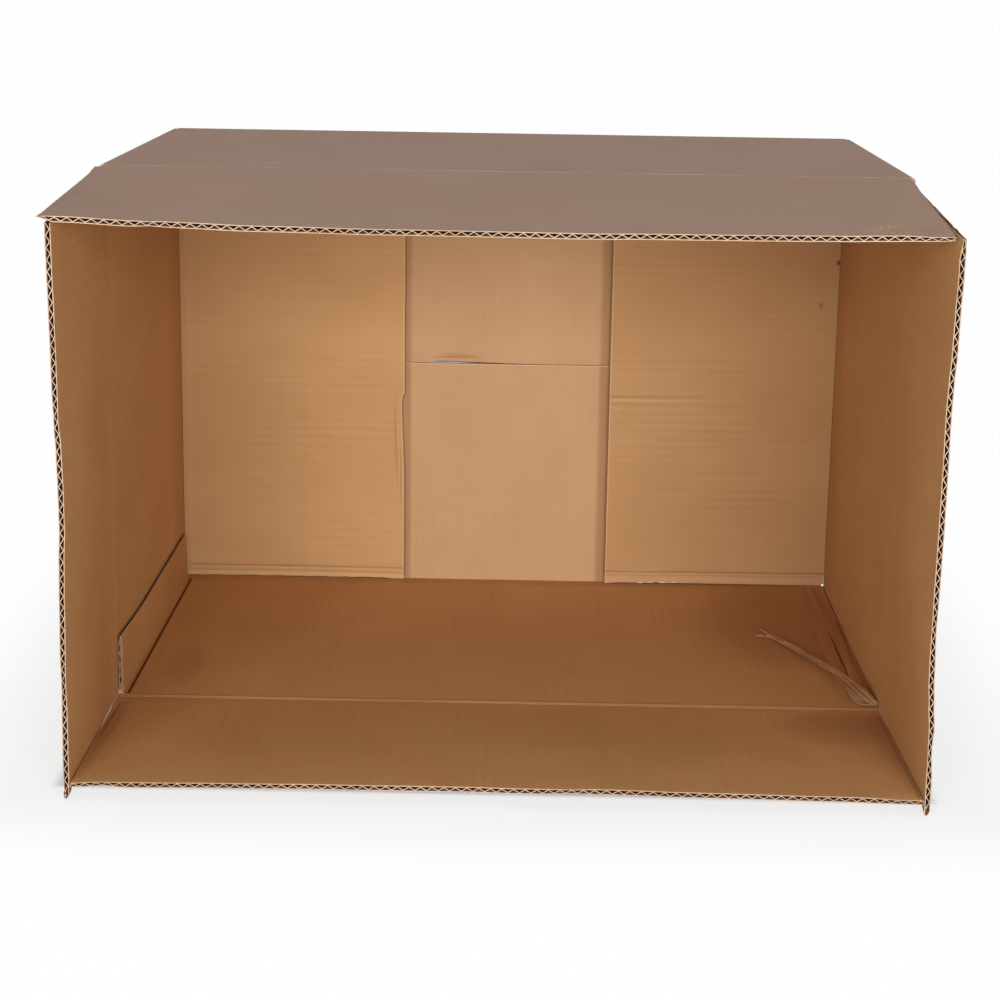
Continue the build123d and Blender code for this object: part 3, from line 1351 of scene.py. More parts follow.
@dataclass
class Mouth:
    """The four open flaps of the mouth, with their creases and their wear."""

    finishes: Finishes
    side_gap: float = 0.4 * MM
    low_extra: float = 1.3 * MM
    floor_bow: Bow = Bow(
        ((-288, -2.0), (-262, -1.6), (-232, -1.1), (-180, -0.8), (-129, -0.4), (-77, 0.6), (-26, 0.4),
         (26, 0.9), (103, 0.7), (180, 0.0), (255, -0.8), (288, -0.9)), CARTON.long_flap, power=0.8,
    )
    top_bow: Bow = Bow(
        ((-294, -2.9), (-280, -2.8), (-232, -0.8), (-149, 1.4), (-77, 2.2), (0, 2.4), (50, 2.5),
         (110, 1.9), (165, 1.8), (215, 1.5), (240, 0.9), (262, 0.3), (288, 0.0)), CARTON.long_flap,
    )
    left_bow: Bow = Bow(
        ((-183, 0.2), (-148, 0.5), (-108, 0.4), (-68, 1.1), (-38, 2.0), (-13, 3.1), (12, 3.2), (37, 2.6),
         (59, 1.4), (87, 1.0), (126, 0.6), (158, 0.1), (187, 0.0)), 140 * MM,
    )
    right_bow: Bow = Bow(
        ((-187, 0.0), (-158, 0.1), (-142, 0.7), (-110, 1.1), (-94, 2.0), (-72, 2.6), (-37, 2.3),
         (3, 2.2), (53, 2.4), (78, 2.6), (108, 2.2), (126, 1.1), (143, 0.0), (161, -0.2), (196, -0.2)),
        80 * MM,
    )

    def build(self) -> None:
        """Builds each flap and crease."""
        self._floor_flap()
        self._top_flap()
        self._left_flap()
        self._right_flap()

    def _placing(self, joint: str, inner: Vector) -> tuple[Placing, Placing, float]:
        """The flap's place, the same turned straight out, and the angle between them."""
        angle = rest_angle(joint)
        straight = Vector((0, -1, 0))
        outward = straight * math.cos(angle) + inner * math.sin(angle)
        normal = inner * math.cos(angle) - straight * math.sin(angle)
        origin = crease_point(joint)
        return Placing(origin, outward, normal), Placing(origin, straight, inner), angle

    def _flap(self, node: str, body: Body, place: Placing, low: Span, high: Span, reach: float,
              offset: float, wear: list[Wear], inside: list[Mark], outside: list[Mark]) -> None:
        """One flap's board."""
        board = Board(
            f"{node}_board", place, low, high, 2.6 * MM, reach, self.finishes, wear=wear,
            inside_marks=inside, outside_marks=outside, offset=offset,
        )
        deliver(board.build(), body, "kraft_board", node)

    def _crease(self, node: str, body: Body, straight: Placing, low: float, high: float, angle: float,
                ridge: float, groove: float, offset: float) -> None:
        """The liners over one flap's crease."""
        cover = CreaseCover(
            f"{node}_crease", body, straight, low, high, angle, self.finishes, ridge, groove, offset,
            -6.5 * MM if body is Body.BOTTOM else 0.0,
        ).build()
        report(cover)

    def _floor_flap(self) -> None:
        """The long flap that lies on the floor."""
        place, straight, angle = self._placing("bottom_flap_crease", Vector((0, 0, 1)))
        edge, half = CARTON.long_flap, CARTON.half
        low, high = Span(-289.75 * MM, -288.7 * MM), Span(289.75 * MM, 284.75 * MM)
        run, fade = (0.0, edge), (10 * MM, 30 * MM)
        wear = [
            SideBand(low, run, 4 * MM, 0.85, -half, 0.2 * MM, fade, 2),
            SideBand(high, run, 15 * MM, 0.75, -half, 0.2 * MM, fade, 5),
            FrontBand(edge, 5 * MM, 0.95, seed=3),
            Crush((-50 * MM, edge), (24 * MM, 14 * MM), 0.8),
            Crush((262 * MM, edge), (16 * MM, 12 * MM), 0.7, half),
            Crush((-275 * MM, edge), (20 * MM, 10 * MM), 0.75, -half),
            Swell(0.35 * MM, 210 * MM, 1.3, half_length=270 * MM),
            self.floor_bow,
            Ragged(edge, 0.3 * MM, 26 * MM, 2.2),
        ]
        # painted_shade_dark is painted shade: thin lines along both ends of the floor flap, where the slot
        # gaps lie in shade.
        crushed, painted_shade_dark = srgb(170, 118, 82), srgb(110, 66, 38)
        marks = [
            Mark((283 * MM, 80 * MM), (9 * MM, 110 * MM), crushed, 0.5),
            Mark((-286 * MM, 60 * MM), (16 * MM, 100 * MM), crushed, 0.45),
            Mark((-288.0 * MM, 110 * MM), (1.2 * MM, EVERYWHERE), srgb(168, 140, 114), 0.8),
            # Painted shade in the left slot gap.
            Mark((-286.0 * MM, 110 * MM), (0.8 * MM, EVERYWHERE), painted_shade_dark, 0.5),
            Mark((-250 * MM, 40 * MM), (50 * MM, 60 * MM), srgb(158, 106, 70), 0.4),
            Mark((287.2 * MM, 12 * MM), (1.8 * MM, 34 * MM), srgb(206, 162, 118), 0.8),
            # Painted shade in the right slot gap.
            Mark((284.6 * MM, 60 * MM), (1.0 * MM, 60 * MM), painted_shade_dark, 0.6),
            Mark((286.6 * MM, 150 * MM), (2.2 * MM, 70 * MM), srgb(196, 152, 112), 0.5, 3 * MM),
            Mark((0, edge), (EVERYWHERE, 2.0 * MM), srgb(222, 174, 124), 0.55),
        ]
        self._flap("front_flap_bottom", Body.BOTTOM, place, low, high, edge, 1.0, wear, marks, [])
        self._crease("front_flap_bottom", Body.BOTTOM, straight, -289 * MM, 289 * MM, angle, 0.45 * MM,
                     0.9 * MM, 1.5)

    def _top_flap(self) -> None:
        """The long flap that droops from the top, with its battered left end."""
        place, straight, angle = self._placing("top_flap_crease", Vector((0, 0, -1)))
        edge, half, side = CARTON.long_flap, CARTON.half, CARTON.half_long
        low, high = Span(-side, -side + CARTON.long_flap_taper), Span(289.3 * MM, 286 * MM)
        outer_low = Span(-294 * MM, -294 * MM)
        run, fade = (0.0, edge), (10 * MM, 30 * MM)
        wear = [
            SideBand(outer_low, run, 7 * MM, 0.45, 0, 0, fade, 4),
            SideBand(high, run, 5 * MM, 0.7, 0, 0, fade, 6),
            Crush((-223 * MM, edge), (9 * MM, 10 * MM), 0.72),
            Crush((-294 * MM, edge), (12 * MM, 20 * MM), 0.3, -half),
            Crush((276 * MM, edge), (26 * MM, 16 * MM), 0.72, half),
            Swell(0.4 * MM, 260 * MM, 3.1, half_length=262 * MM),
            self.top_bow,
            Ragged(edge, 0.3 * MM, 30 * MM, 5.2),
        ]
        scuffs = [
            Mark((250 * MM, 182 * MM), (26 * MM, 22 * MM), srgb(206, 172, 134), 0.8, 1.6 * MM),
            Mark((262 * MM, 186 * MM), (24 * MM, 18 * MM), srgb(104, 80, 64), 0.6, 1.3 * MM),
            Mark((-150 * MM, 150 * MM), (50 * MM, 30 * MM), srgb(164, 142, 124), 0.25),
        ]
        self._flap("front_flap_top", Body.TOP, place, low, high, edge, 2.0, wear, [], scuffs)
        band = Board(
            "front_flap_top_left_end", place, outer_low, low, 5 * MM, edge, self.finishes, cell=2 * MM,
            wear=wear, outside_marks=scuffs, offset=2.0,
        ).build()
        deliver(band, Body.TOP)
        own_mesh(band)
        self._crease("front_flap_top", Body.TOP, straight, -289 * MM, 289 * MM, angle, 0.5 * MM,
                     0.5 * MM, 2.5)

    def _side_cuts(self, floor_lift: float, top_droop: float) -> tuple[float, float]:
        """Heights of a side flap's two ends at its free edge, clear of the long flaps."""
        reach = CARTON.short_flap
        rise = reach * math.tan(rest_angle("bottom_flap_crease")) + floor_lift
        droop = reach * math.tan(rest_angle("top_flap_crease")) + top_droop
        low = CARTON.board + rise + self.side_gap
        high = CARTON.height - CARTON.board - droop - self.side_gap
        return low, high

    def _left_flap(self) -> None:
        """The short flap on the left, with the point that hangs from its lower corner."""
        place, straight, angle = self._placing("left_flap_crease", Vector((1, 0, 0)))
        edge, middle, half = CARTON.short_flap, CARTON.height / 2, CARTON.half
        low_end, high_end = self._side_cuts(-9.7 * MM, -3.2 * MM)
        low = Span(-CARTON.short_half - self.low_extra, low_end - middle)
        high = Span(CARTON.short_half, high_end - middle)
        run, fade = (0.0, edge), (10 * MM, 30 * MM)
        wear = [
            SideBand(low, run, 8 * MM, 0.6, 0, 0, fade, 7),
            Crush((81 * MM - middle, edge), (24 * MM, 14 * MM), 0.78),
            Crush((60 * MM, edge), (12 * MM, 12 * MM), 0.8),
            Swell(0.5 * MM, 170 * MM, 4.4, half_length=190 * MM),
            self.left_bow,
            Ragged(edge, 0.4 * MM, 24 * MM, 7.2),
        ]
        marks = [
            Mark((-150 * MM, 60 * MM), (60 * MM, 40 * MM), srgb(176, 130, 84), 0.3),
            Mark((0, edge), (EVERYWHERE, 2.2 * MM), srgb(222, 176, 130), 0.35),
        ]
        self._flap("front_flap_left", Body.LEFT, place, low, high, edge, 3.0, wear, marks, [])
        self._crease("front_flap_left", Body.LEFT, straight, low.at_fold, CARTON.short_half, angle,
                     0.16 * MM, 0.6 * MM, 3.5)
        point = PeeledCorner(
            "front_flap_left_point", place, low.at_edge, -1, low_end - 0.7 * MM, edge - 0.2 * MM, 13 * MM,
            -1.3 * MM, self.finishes, 3.2,
        ).build()
        deliver(point, Body.LEFT, "torn_board")
        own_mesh(point)

    def _right_flap(self) -> None:
        """The short flap on the right, whose inner paper hangs down past the floor flap."""
        place, straight, angle = self._placing("right_flap_crease", Vector((-1, 0, 0)))
        edge, middle, half = CARTON.short_flap, CARTON.height / 2, CARTON.half
        low_end, high_end = self._side_cuts(-9.7 * MM, -2.6 * MM)
        low = Span(-CARTON.short_half, middle - high_end)
        high = Span(CARTON.short_half + self.low_extra, middle - low_end)
        run, fade = (0.0, edge), (10 * MM, 30 * MM)
        wear = [
            SideBand(low, run, 6 * MM, 0.7, 0, 0, fade, 8),
            Crush((70 * MM, edge), (26 * MM, 12 * MM), 0.8),
            Crush((middle - 45 * MM, edge), (20 * MM, 12 * MM), 0.7, half),
            Crush((middle - high_end, edge), (13 * MM, 11 * MM), 0.6, -half),
            Swell(0.5 * MM, 190 * MM, 6.4, half_length=190 * MM),
            self.right_bow,
            Ragged(edge, 0.4 * MM, 24 * MM, 9.2),
        ]
        marks = [
            Mark((-168 * MM, 186 * MM), (22 * MM, 26 * MM), srgb(216, 172, 124), 0.6, 1.4 * MM),
            Mark((0, edge), (EVERYWHERE, 2.2 * MM), srgb(222, 176, 130), 0.35),
        ]
        self._flap("front_flap_right", Body.RIGHT, place, low, high, edge, 4.0, wear, marks, [])
        self._crease("front_flap_right", Body.RIGHT, straight, -CARTON.short_half, high.at_fold, angle,
                     0.12 * MM, 0.6 * MM, 4.5)
        fringe = PeeledCorner(
            "front_flap_right_point", place, high.at_edge, 1, low_end - 0.7 * MM, edge - 0.2 * MM, 15 * MM,
            1.1 * MM, self.finishes, 4.2,
        ).build()
        deliver(fringe, Body.RIGHT, "torn_board")
        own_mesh(fringe)


@dataclass
class Shell:
    """The folded sheet that stays put: four panels, the glue tab and the outer back flaps."""

    finishes: Finishes
    tab_widening: float = 4.8 * MM
    tab_flare_length: float = 110 * MM

    def build(self) -> None:
        """Builds the panels and folds, and joins them into two pieces."""
        panels = self._panels() + self._glue_tab()
        closed_end = self._outer_flaps() + self._folds()
        deliver(join("carton_body_panels", panels), Body.CARTON, "kraft_board", "carton_body")
        deliver(join("carton_body_folds", closed_end), Body.CARTON)

    def _panel(self, name: str, origin: Vector, inner: Vector, low: float, high: float, start: float,
               end: float, offset: float, marks: list[Mark]) -> bpy.types.Object:
        """One panel between its folds, hollow between its liners."""
        place = Placing(origin, Vector((0, 1, 0)), inner)
        return Board(
            name, place, Span(low, low), Span(high, high), start, end, self.finishes, fluted=False,
            cell=10 * MM, inside_marks=marks, offset=offset,
        ).build()

    def _panels(self) -> list[bpy.types.Object]:
        """Floor, top panel and side walls."""
        half, inset = CARTON.half, 3.5 * MM
        middle = CARTON.height / 2
        wide = CARTON.half_inner - inset + half
        tall = middle - half - inset + half
        long_start, long_end = FRONT_LONG + 2.6 * MM, BACK_FACE - inset
        side_start, side_end = FRONT_SIDE + 2.6 * MM, BACK_SIDE + half - inset
        wall = CARTON.half_inner + half
        # painted_shade_red is painted shade: the floor panel is painted darker near the right wall, near the
        # left wall and along the back wall, with a near-black spot at the left slot's root where the hole
        # lies in shade.
        painted_shade_red = srgb(170, 116, 80)
        floor_painted_shade = [
            Mark((268 * MM, 60 * MM), (16 * MM, 130 * MM), painted_shade_red, 0.35),
            Mark((236 * MM, 150 * MM), (80 * MM, 150 * MM), srgb(158, 100, 66), 0.45),
            Mark((-286 * MM, -66 * MM), (3.5 * MM, 4.5 * MM), srgb(70, 66, 58), 0.85),
            Mark((-250 * MM, 10 * MM), (20 * MM, 60 * MM), painted_shade_red, 0.3),
            Mark((0, BACK_FACE), (EVERYWHERE, 26 * MM), painted_shade_red, 0.4),
        ]
        # Painted shade: the side walls are darker towards the back.
        wall_painted_shade = [Mark((0, BACK_SIDE), (EVERYWHERE, 70 * MM), painted_shade_red, 0.3)]
        floor = self._panel(
            "floor_panel", Vector((0, 0, half)), Vector((0, 0, 1)), -wide, wide, long_start, long_end, 10,
            floor_painted_shade,
        )
        lid = self._panel(
            "top_panel", Vector((0, 0, CARTON.height - half)), Vector((0, 0, -1)), -wide, wide,
            long_start, long_end, 11, [],
        )
        left = self._panel(
            "left_wall", Vector((-wall, 0, middle)), Vector((1, 0, 0)), -tall,
            middle - CARTON.raw_edge_lift, side_start, side_end, 12, wall_painted_shade,
        )
        right = self._panel(
            "right_wall", Vector((wall, 0, middle)), Vector((-1, 0, 0)), -tall, tall, side_start, side_end,
            13, wall_painted_shade,
        )
        return [floor, lid, left, right]

    def _outer_flaps(self) -> list[bpy.types.Object]:
        """The two long back flaps that meet at the taped seam."""
        half, side = CARTON.half, CARTON.half_long
        seam = CARTON.height / 2
        near = 0.12 * MM
        ends = (Span(-side, -side), Span(side, side))
        inner = Vector((0, -1, 0))
        # painted_edge_shadow is painted shadow: soft darker stripes on the back flaps beside the inner flaps'
        # free edges, where those edges shade the board.
        painted_edge_shadow, brown = srgb(146, 98, 58), srgb(140, 96, 62)
        lower = Board(
            "outer_flap_lower", Placing(Vector((0, BACK_FACE - half, 0)), Vector((0, 0, 1)), inner),
            *ends, 3.5 * MM, seam - near, self.finishes, offset=14, paper=self.finishes.back,
            wear=[
                FrontBand(seam, 5 * MM, 0.85, -half, seed=3),
                Bulge(seam, 45 * MM, 1.1 * MM, 87 * MM),
            ],
            inside_marks=[
                # Painted shadow beside the inner flaps' free edges.
                Mark((-90 * MM, 90 * MM), (6 * MM, EVERYWHERE), painted_edge_shadow, 0.42),
                Mark((89 * MM, 90 * MM), (9 * MM, EVERYWHERE), painted_edge_shadow, 0.5),
                # Painted highlight: a pale line along the lower flap's top edge, where the edge catches the
                # light.
                Mark((0, seam), (EVERYWHERE, 1.0 * MM), srgb(236, 206, 168), 0.7),
            ],
        ).build()
        upper = Board(
            "outer_flap_upper",
            Placing(Vector((0, BACK_FACE - half, CARTON.height)), Vector((0, 0, -1)), inner),
            *ends, 3.5 * MM, seam - near, self.finishes, offset=15, paper=self.finishes.back,
            wear=[
                FrontBand(seam, 8 * MM, 0.75, -half, seed=9),
                FoldLine((44 * MM, seam - 6.5 * MM), (1, 0), 0.9 * MM, -0.35 * MM, 26 * MM),
                Dent(74 * MM, -30 * MM, 1.6 * MM, seam, 12 * MM, 0.12, 0.85),
            ],
            inside_marks=[
                # Painted shadow beside the inner flaps' free edges.
                Mark((-89 * MM, 90 * MM), (9 * MM, EVERYWHERE), painted_edge_shadow, 0.5),
                Mark((90 * MM, 90 * MM), (6 * MM, EVERYWHERE), painted_edge_shadow, 0.42),
                Mark((46 * MM, seam - 4.6 * MM), (26 * MM, 0.7 * MM), brown, 0.75),
                Mark((42 * MM, seam - 6.6 * MM), (22 * MM, 0.7 * MM), brown, 0.65),
                Mark((50 * MM, seam - 8.6 * MM), (14 * MM, 0.6 * MM), brown, 0.4),
                # Painted shade: a darker line along the upper flap's edge at the seam gap.
                Mark((0, seam), (EVERYWHERE, 0.8 * MM), srgb(170, 122, 84), 0.5),
            ],
        ).build()
        return [lower, upper]

    def _glue_tab(self) -> list[bpy.types.Object]:
        """The tab folded up from the floor inside the left wall, widest at the mouth."""
        half = CARTON.half
        start = FRONT_SIDE + CARTON.tab_front_gap
        end = BACK_SIDE - half - CARTON.tab_back_gap
        top = 46 * MM
        side = Span(-top, -top)
        place = Placing(Vector((-CARTON.half_inner + half, 0, 0)), Vector((0, 1, 0)), Vector((1, 0, 0)))
        tab = Board(
            "glue_tab", place, side, Span(-5 * MM, -5 * MM), start, end, self.finishes, cell=4 * MM,
            offset=16,
            wear=[
                SideBand(side, (start, end), 6 * MM, 0.35, 0.2 * MM, 1 * MM, (start - 1, start), 3),
                FrontBand(start, 5 * MM, 0.8, half, seed=4),
                Flare(top, self.tab_widening, start, self.tab_flare_length),
            ],
            inside_marks=[Mark((-25 * MM, 200 * MM), (EVERYWHERE, 90 * MM), srgb(172, 120, 84), 0.3)],
        ).build()
        face = -CARTON.half_inner
        strip = RoughStrip(
            "glue_tab_front", Vector((face + 2.3 * MM, start - 0.6 * MM, 6 * MM)),
            Vector((face + CARTON.board - 0.1 * MM, start + 0.5 * MM, top + 4.2 * MM)),
        ).build(self.finishes.rough, 5.0)
        return [tab, strip]

    def _folds(self) -> list[bpy.types.Object]:
        """Every sharp fold between two panels."""
        x, z = CARTON.half_outer, CARTON.height
        right, left, up, down = Vector((1, 0, 0)), Vector((-1, 0, 0)), Vector((0, 0, 1)), Vector((0, 0, -1))
        back = Vector((0, 1, 0))
        run = SLOT_BACK - SLOT_FRONT
        tab_start = FRONT_SIDE + CARTON.tab_front_gap
        tab_run = BACK_SIDE - CARTON.half - CARTON.tab_back_gap - tab_start
        long_run = 2 * CARTON.half_long
        wall_run = 2 * CARTON.short_half
        # painted_shade_dark here is the painted shade for the creases and corners of the folds below.
        painted_shade_dark = srgb(118, 70, 38)
        crumpled = (
            Ridge(0.0, 1.6 * MM, 0.7 * MM),
            Ridge(15.8 * MM, 1.1 * MM, -0.6 * MM, (70 * MM, 400 * MM), 0.4 * MM, 2.0),
            Pleat(
                0.0, 2.0 * MM, 0.48 * MM, wander=0.35 * MM, seed=4.0,
                near_line=((45, 8.6), (100, 5.4), (160, 2.4), (222, 1.6), (232, -1.5), (340, -1.5)),
                far_line=((45, 9.6), (70, 12.4), (150, 13.6), (212, 12.4), (320, 15.4)),
            ),
        )
        # A more reddish band on the pleat, and painted shade: darker bands and lines in the crumpled fold's
        # creases and along its corner.
        crumple_wear_and_painted_shade = (
            Mark((-8 * MM, 230 * MM), (9 * MM, 150 * MM), srgb(186, 128, 92), 0.6),
            Mark((-15.5 * MM, 217 * MM), (18 * MM, 150 * MM), srgb(158, 100, 66), 0.45),
            Mark((-13.6 * MM, 130 * MM), (2.2 * MM, 90 * MM), srgb(96, 52, 26), 0.9),
            Mark((-15.8 * MM, 290 * MM), (1.2 * MM, 110 * MM), painted_shade_dark, 0.6),
            Mark((-1.0 * MM, 280 * MM), (1.6 * MM, 70 * MM), painted_shade_dark, 0.85),
            Mark((-2.4 * MM, 190 * MM), (2.0 * MM, 60 * MM), painted_shade_dark, 0.6),
            Mark((-3.0 * MM, 110 * MM), (3.0 * MM, 70 * MM), srgb(140, 88, 56), 0.6),
            Mark((0, 0), (2.4 * MM, EVERYWHERE), painted_shade_dark, 0.6),
        )
        # deep is a painted shade colour: the groove between the glue tab and the floor is painted darker,
        # with a painted highlight on the edge beside it.
        deep = srgb(92, 46, 18)
        painted_valley_shade_and_highlight = (
            Mark((-2.2 * MM, 0), (3.0 * MM, EVERYWHERE), deep, 0.95),
            Mark((-6.6 * MM, 0), (1.6 * MM, EVERYWHERE), srgb(200, 152, 106), 0.45),
        )
        bead = (Ridge(0.0, 1.6 * MM, 0.6 * MM),)
        folds = [
            CornerFold("fold_floor_right", Vector((x, SLOT_FRONT, 0)), right, up, back, run, self.finishes,
                       first_reach=28 * MM, ridges=crumpled, marks=crumple_wear_and_painted_shade, offset=20, cell=4 * MM),
            CornerFold("fold_top_right", Vector((x, SLOT_FRONT, z)), right, down, back, run, self.finishes,
                       ridges=bead, offset=21),
            CornerFold("fold_top_left", Vector((-x, SLOT_FRONT, z)), left, down, back, run, self.finishes,
                       ridges=bead, offset=22),
            CornerFold("fold_floor_tab", Vector((-CARTON.half_inner, tab_start, 0)), left, up, back, tab_run,
                       self.finishes, first_reach=12 * MM, ridges=(
                           Ridge(0.0, 1.4 * MM, -0.4 * MM), Ridge(4.2 * MM, 1.4 * MM, 0.35 * MM),
                       ), marks=painted_valley_shade_and_highlight, offset=23),
            # Painted shade along the corner between the floor and the back.
            CornerFold("fold_back_lower", Vector((-CARTON.half_long, BACK_FACE, 0)), back, up, right,
                       long_run, self.finishes, second_reach=4.6 * MM,
                       ridges=(Ridge(0.0, 1.6 * MM, -0.3 * MM),),
                       marks=(Mark((0, 0), (2.6 * MM, EVERYWHERE), painted_shade_dark, 0.8),), offset=24),
            CornerFold("fold_back_upper", Vector((-CARTON.half_long, BACK_FACE, z)), back, down, right,
                       long_run, self.finishes, ridges=bead, offset=25),
            # Painted shade down the back corners of both walls.
            CornerFold("fold_back_left", Vector((-x, BACK_SIDE + CARTON.half, CARTON.short_low)), back, right,
                       up, wall_run, self.finishes, second_reach=CARTON.board, ridges=(),
                       marks=(Mark((0, 0), (1.8 * MM, EVERYWHERE), painted_shade_dark, 0.6),), offset=26),
            CornerFold("fold_back_right", Vector((x, BACK_SIDE + CARTON.half, CARTON.short_low)), back, left,
                       up, wall_run, self.finishes, second_reach=CARTON.board, ridges=(),
                       marks=(Mark((0, 0), (1.8 * MM, EVERYWHERE), painted_shade_dark, 0.6),), offset=27),
        ]
        return [fold.build() for fold in folds]


@dataclass
class InnerFlaps:
    """The two short back flaps that show inside the box."""

    finishes: Finishes
    low_reach: float = 1.4 * MM
    shorter: float = 3.9 * MM

    def build(self) -> None:
        """Builds both flaps."""
        half, length = CARTON.half, CARTON.short_flap - CARTON.half - self.shorter
        ajar = -math.radians(JOINTS["inner_right_flap_crease"]["range_deg"][0])
        short, long = CARTON.short_half, CARTON.short_half + self.low_reach
        for node, joint, body, side, angle, offset, low, high in (
            ("back_flap_left", "inner_left_flap_crease", Body.INNER_LEFT, 1, 0.0, 5.0, -short, long),
            ("back_flap_right", "inner_right_flap_crease", Body.INNER_RIGHT, -1, ajar, 6.0, -long, short),
        ):
            outward = Vector((side * math.cos(angle), -math.sin(angle), 0))
            normal = Vector((-side * math.sin(angle), -math.cos(angle), 0))
            place = Placing(crease_point(joint) - normal * half, outward, normal)
            wear = self._left_wear(length, high) if side > 0 else self._right_wear(length, low)
            marks = self._left_marks(length, high) if side > 0 else self._right_marks(length, low)
            low_span = Span(low + (self.low_reach if side < 0 else 0), low)
            paper = self.finishes.inner_left if side > 0 else self.finishes.inner_right
            flap = Board(
                f"{node}_board", place, low_span, Span(high, high), 0.35 * MM, length, self.finishes,
                cell=3 * MM, wear=wear, inside_marks=marks, offset=offset, paper=paper,
            ).build()
            deliver(flap, body, "kraft_board", node)

    @staticmethod
    def _left_wear(edge: float, bottom: float) -> list[Wear]:
        """A dented free edge, a crushed lower end and a soft fold beside the hinge."""
        middle, half = CARTON.height / 2, CARTON.half
        side = Span(bottom, bottom)
        return [
            SideBand(side, (0, edge), 9.4 * MM, 0.55, -half, 7.4 * MM, seed=2),
            Dent(middle - 173.5 * MM, middle - 92 * MM, 2.5 * MM, edge, 22 * MM),
            Crush((middle - 150 * MM, edge), (42 * MM, 12 * MM), 0.6, -half),
            FoldLine((0, 4 * MM), (1, 0), 2.0 * MM, 0.7 * MM, 400 * MM),
            Bulge(edge, 50 * MM, 1.3 * MM, 300 * MM),
            Swell(0.6 * MM, 190 * MM, 8.4, still=80 * MM),
            Frayed(bottom, 1, 0.8 * MM, (20 * MM, 190 * MM), 3.0),
        ]

    @staticmethod
    def _left_marks(edge: float, bottom: float) -> list[Mark]:
        """Wrinkles beside the dent drawn with painted shade, the pale lower band with painted shade lines
        beside it, painted shade along the hinge, and the bright cut edge.
        """
        middle = CARTON.height / 2
        dent = middle - 132 * MM
        # fold is a painted shade colour: it draws the wrinkles beside the dent and the lines beside the pale
        # lower band.
        pale, fold = srgb(222, 186, 138), srgb(128, 88, 50)
        return [
            Mark((dent, edge - 6.2 * MM), (52 * MM, 0.6 * MM), fold, 0.55),
            Mark((dent - 6 * MM, edge - 8.0 * MM), (36 * MM, 0.6 * MM), fold, 0.3),
            Mark((dent + 4 * MM, edge - 9.6 * MM), (34 * MM, 1.6 * MM), srgb(206, 160, 98), 0.5),
            Mark((dent, edge - 4.2 * MM), (42 * MM, 1.2 * MM), srgb(212, 164, 98), 0.6),
            Mark((dent + 30 * MM, edge - 3.0 * MM), (40 * MM, 0.5 * MM), fold, 0.45),
            Mark((0, edge), (EVERYWHERE, 1.3 * MM), pale, 0.75),
            Mark((bottom, 0), (7.5 * MM, EVERYWHERE), pale, 0.4),
            Mark((bottom - 8.2 * MM, 0), (0.9 * MM, EVERYWHERE), pale, 0.6),
            Mark((bottom - 5.0 * MM, 0), (0.7 * MM, EVERYWHERE), fold, 0.3),
            Mark((bottom - 10.4 * MM, 0), (1.2 * MM, EVERYWHERE), fold, 0.3),
            # Painted shade along the hinge corner.
            Mark((0, 3 * MM), (EVERYWHERE, 4 * MM), srgb(204, 150, 112), 0.5),
        ]

    @staticmethod
    def _right_wear(edge: float, bottom: float) -> list[Wear]:
        """A low fold across the flap and a crushed, frayed lower end."""
        half = CARTON.half
        fold = 174 * MM - CARTON.height / 2
        side = Span(bottom, bottom)
        return [
            SideBand(side, (0, edge), 11 * MM, 0.5, -half, 9 * MM, seed=4),
            FoldLine((fold, edge), (0, 1), 3.2 * MM, 0.55 * MM, 200 * MM),
            FoldLine((fold - 5 * MM, edge), (0, 1), 2.4 * MM, -0.2 * MM, 160 * MM),
            FoldLine((0, 5 * MM), (1, 0), 2.0 * MM, 0.2 * MM, 400 * MM),
            Swell(0.25 * MM, 190 * MM, 11.4, still=80 * MM),
            Frayed(bottom, -1, 1.8 * MM, (90 * MM, 196 * MM), 5.0),
        ]

    @staticmethod
    def _right_marks(edge: float, bottom: float) -> list[Mark]:
        """A painted highlight on the fold's crest with painted shade beside it, the pale lower band with a
        painted shade line beside it, the cut edge and two old spots.
        """
        middle = CARTON.height / 2
        fold = 174 * MM - middle
        # shade is a painted shade colour, and pale also gives the painted highlight on the fold's crest.
        pale, shade = srgb(222, 186, 138), srgb(134, 92, 54)
        return [
            # Painted highlight on the fold's crest, painted shade beside it.
            Mark((fold, edge), (1.3 * MM, 120 * MM), pale, 0.3),
            Mark((fold + 3.2 * MM, edge), (1.2 * MM, 110 * MM), shade, 0.3),
            Mark((fold - 3.6 * MM, edge), (1.0 * MM, 70 * MM), shade, 0.2),
            Mark((0, edge), (EVERYWHERE, 1.3 * MM), pale, 0.6),
            Mark((bottom, 0), (9.5 * MM, EVERYWHERE), srgb(218, 172, 134), 0.4),
            Mark((bottom, 145 * MM), (1.6 * MM, 60 * MM), srgb(246, 228, 208), 0.9, 5 * MM),
            Mark((bottom + 9.6 * MM, 0), (0.9 * MM, EVERYWHERE), pale, 0.5),
            Mark((bottom + 11.4 * MM, 0), (1.0 * MM, EVERYWHERE), shade, 0.35),
            Mark((299 * MM - middle, 1.5 * MM), (3 * MM, 3 * MM), srgb(92, 48, 30), 0.8),
            Mark((261 * MM - middle, 15 * MM), (3.5 * MM, 3 * MM), srgb(140, 92, 62), 0.55),
        ]


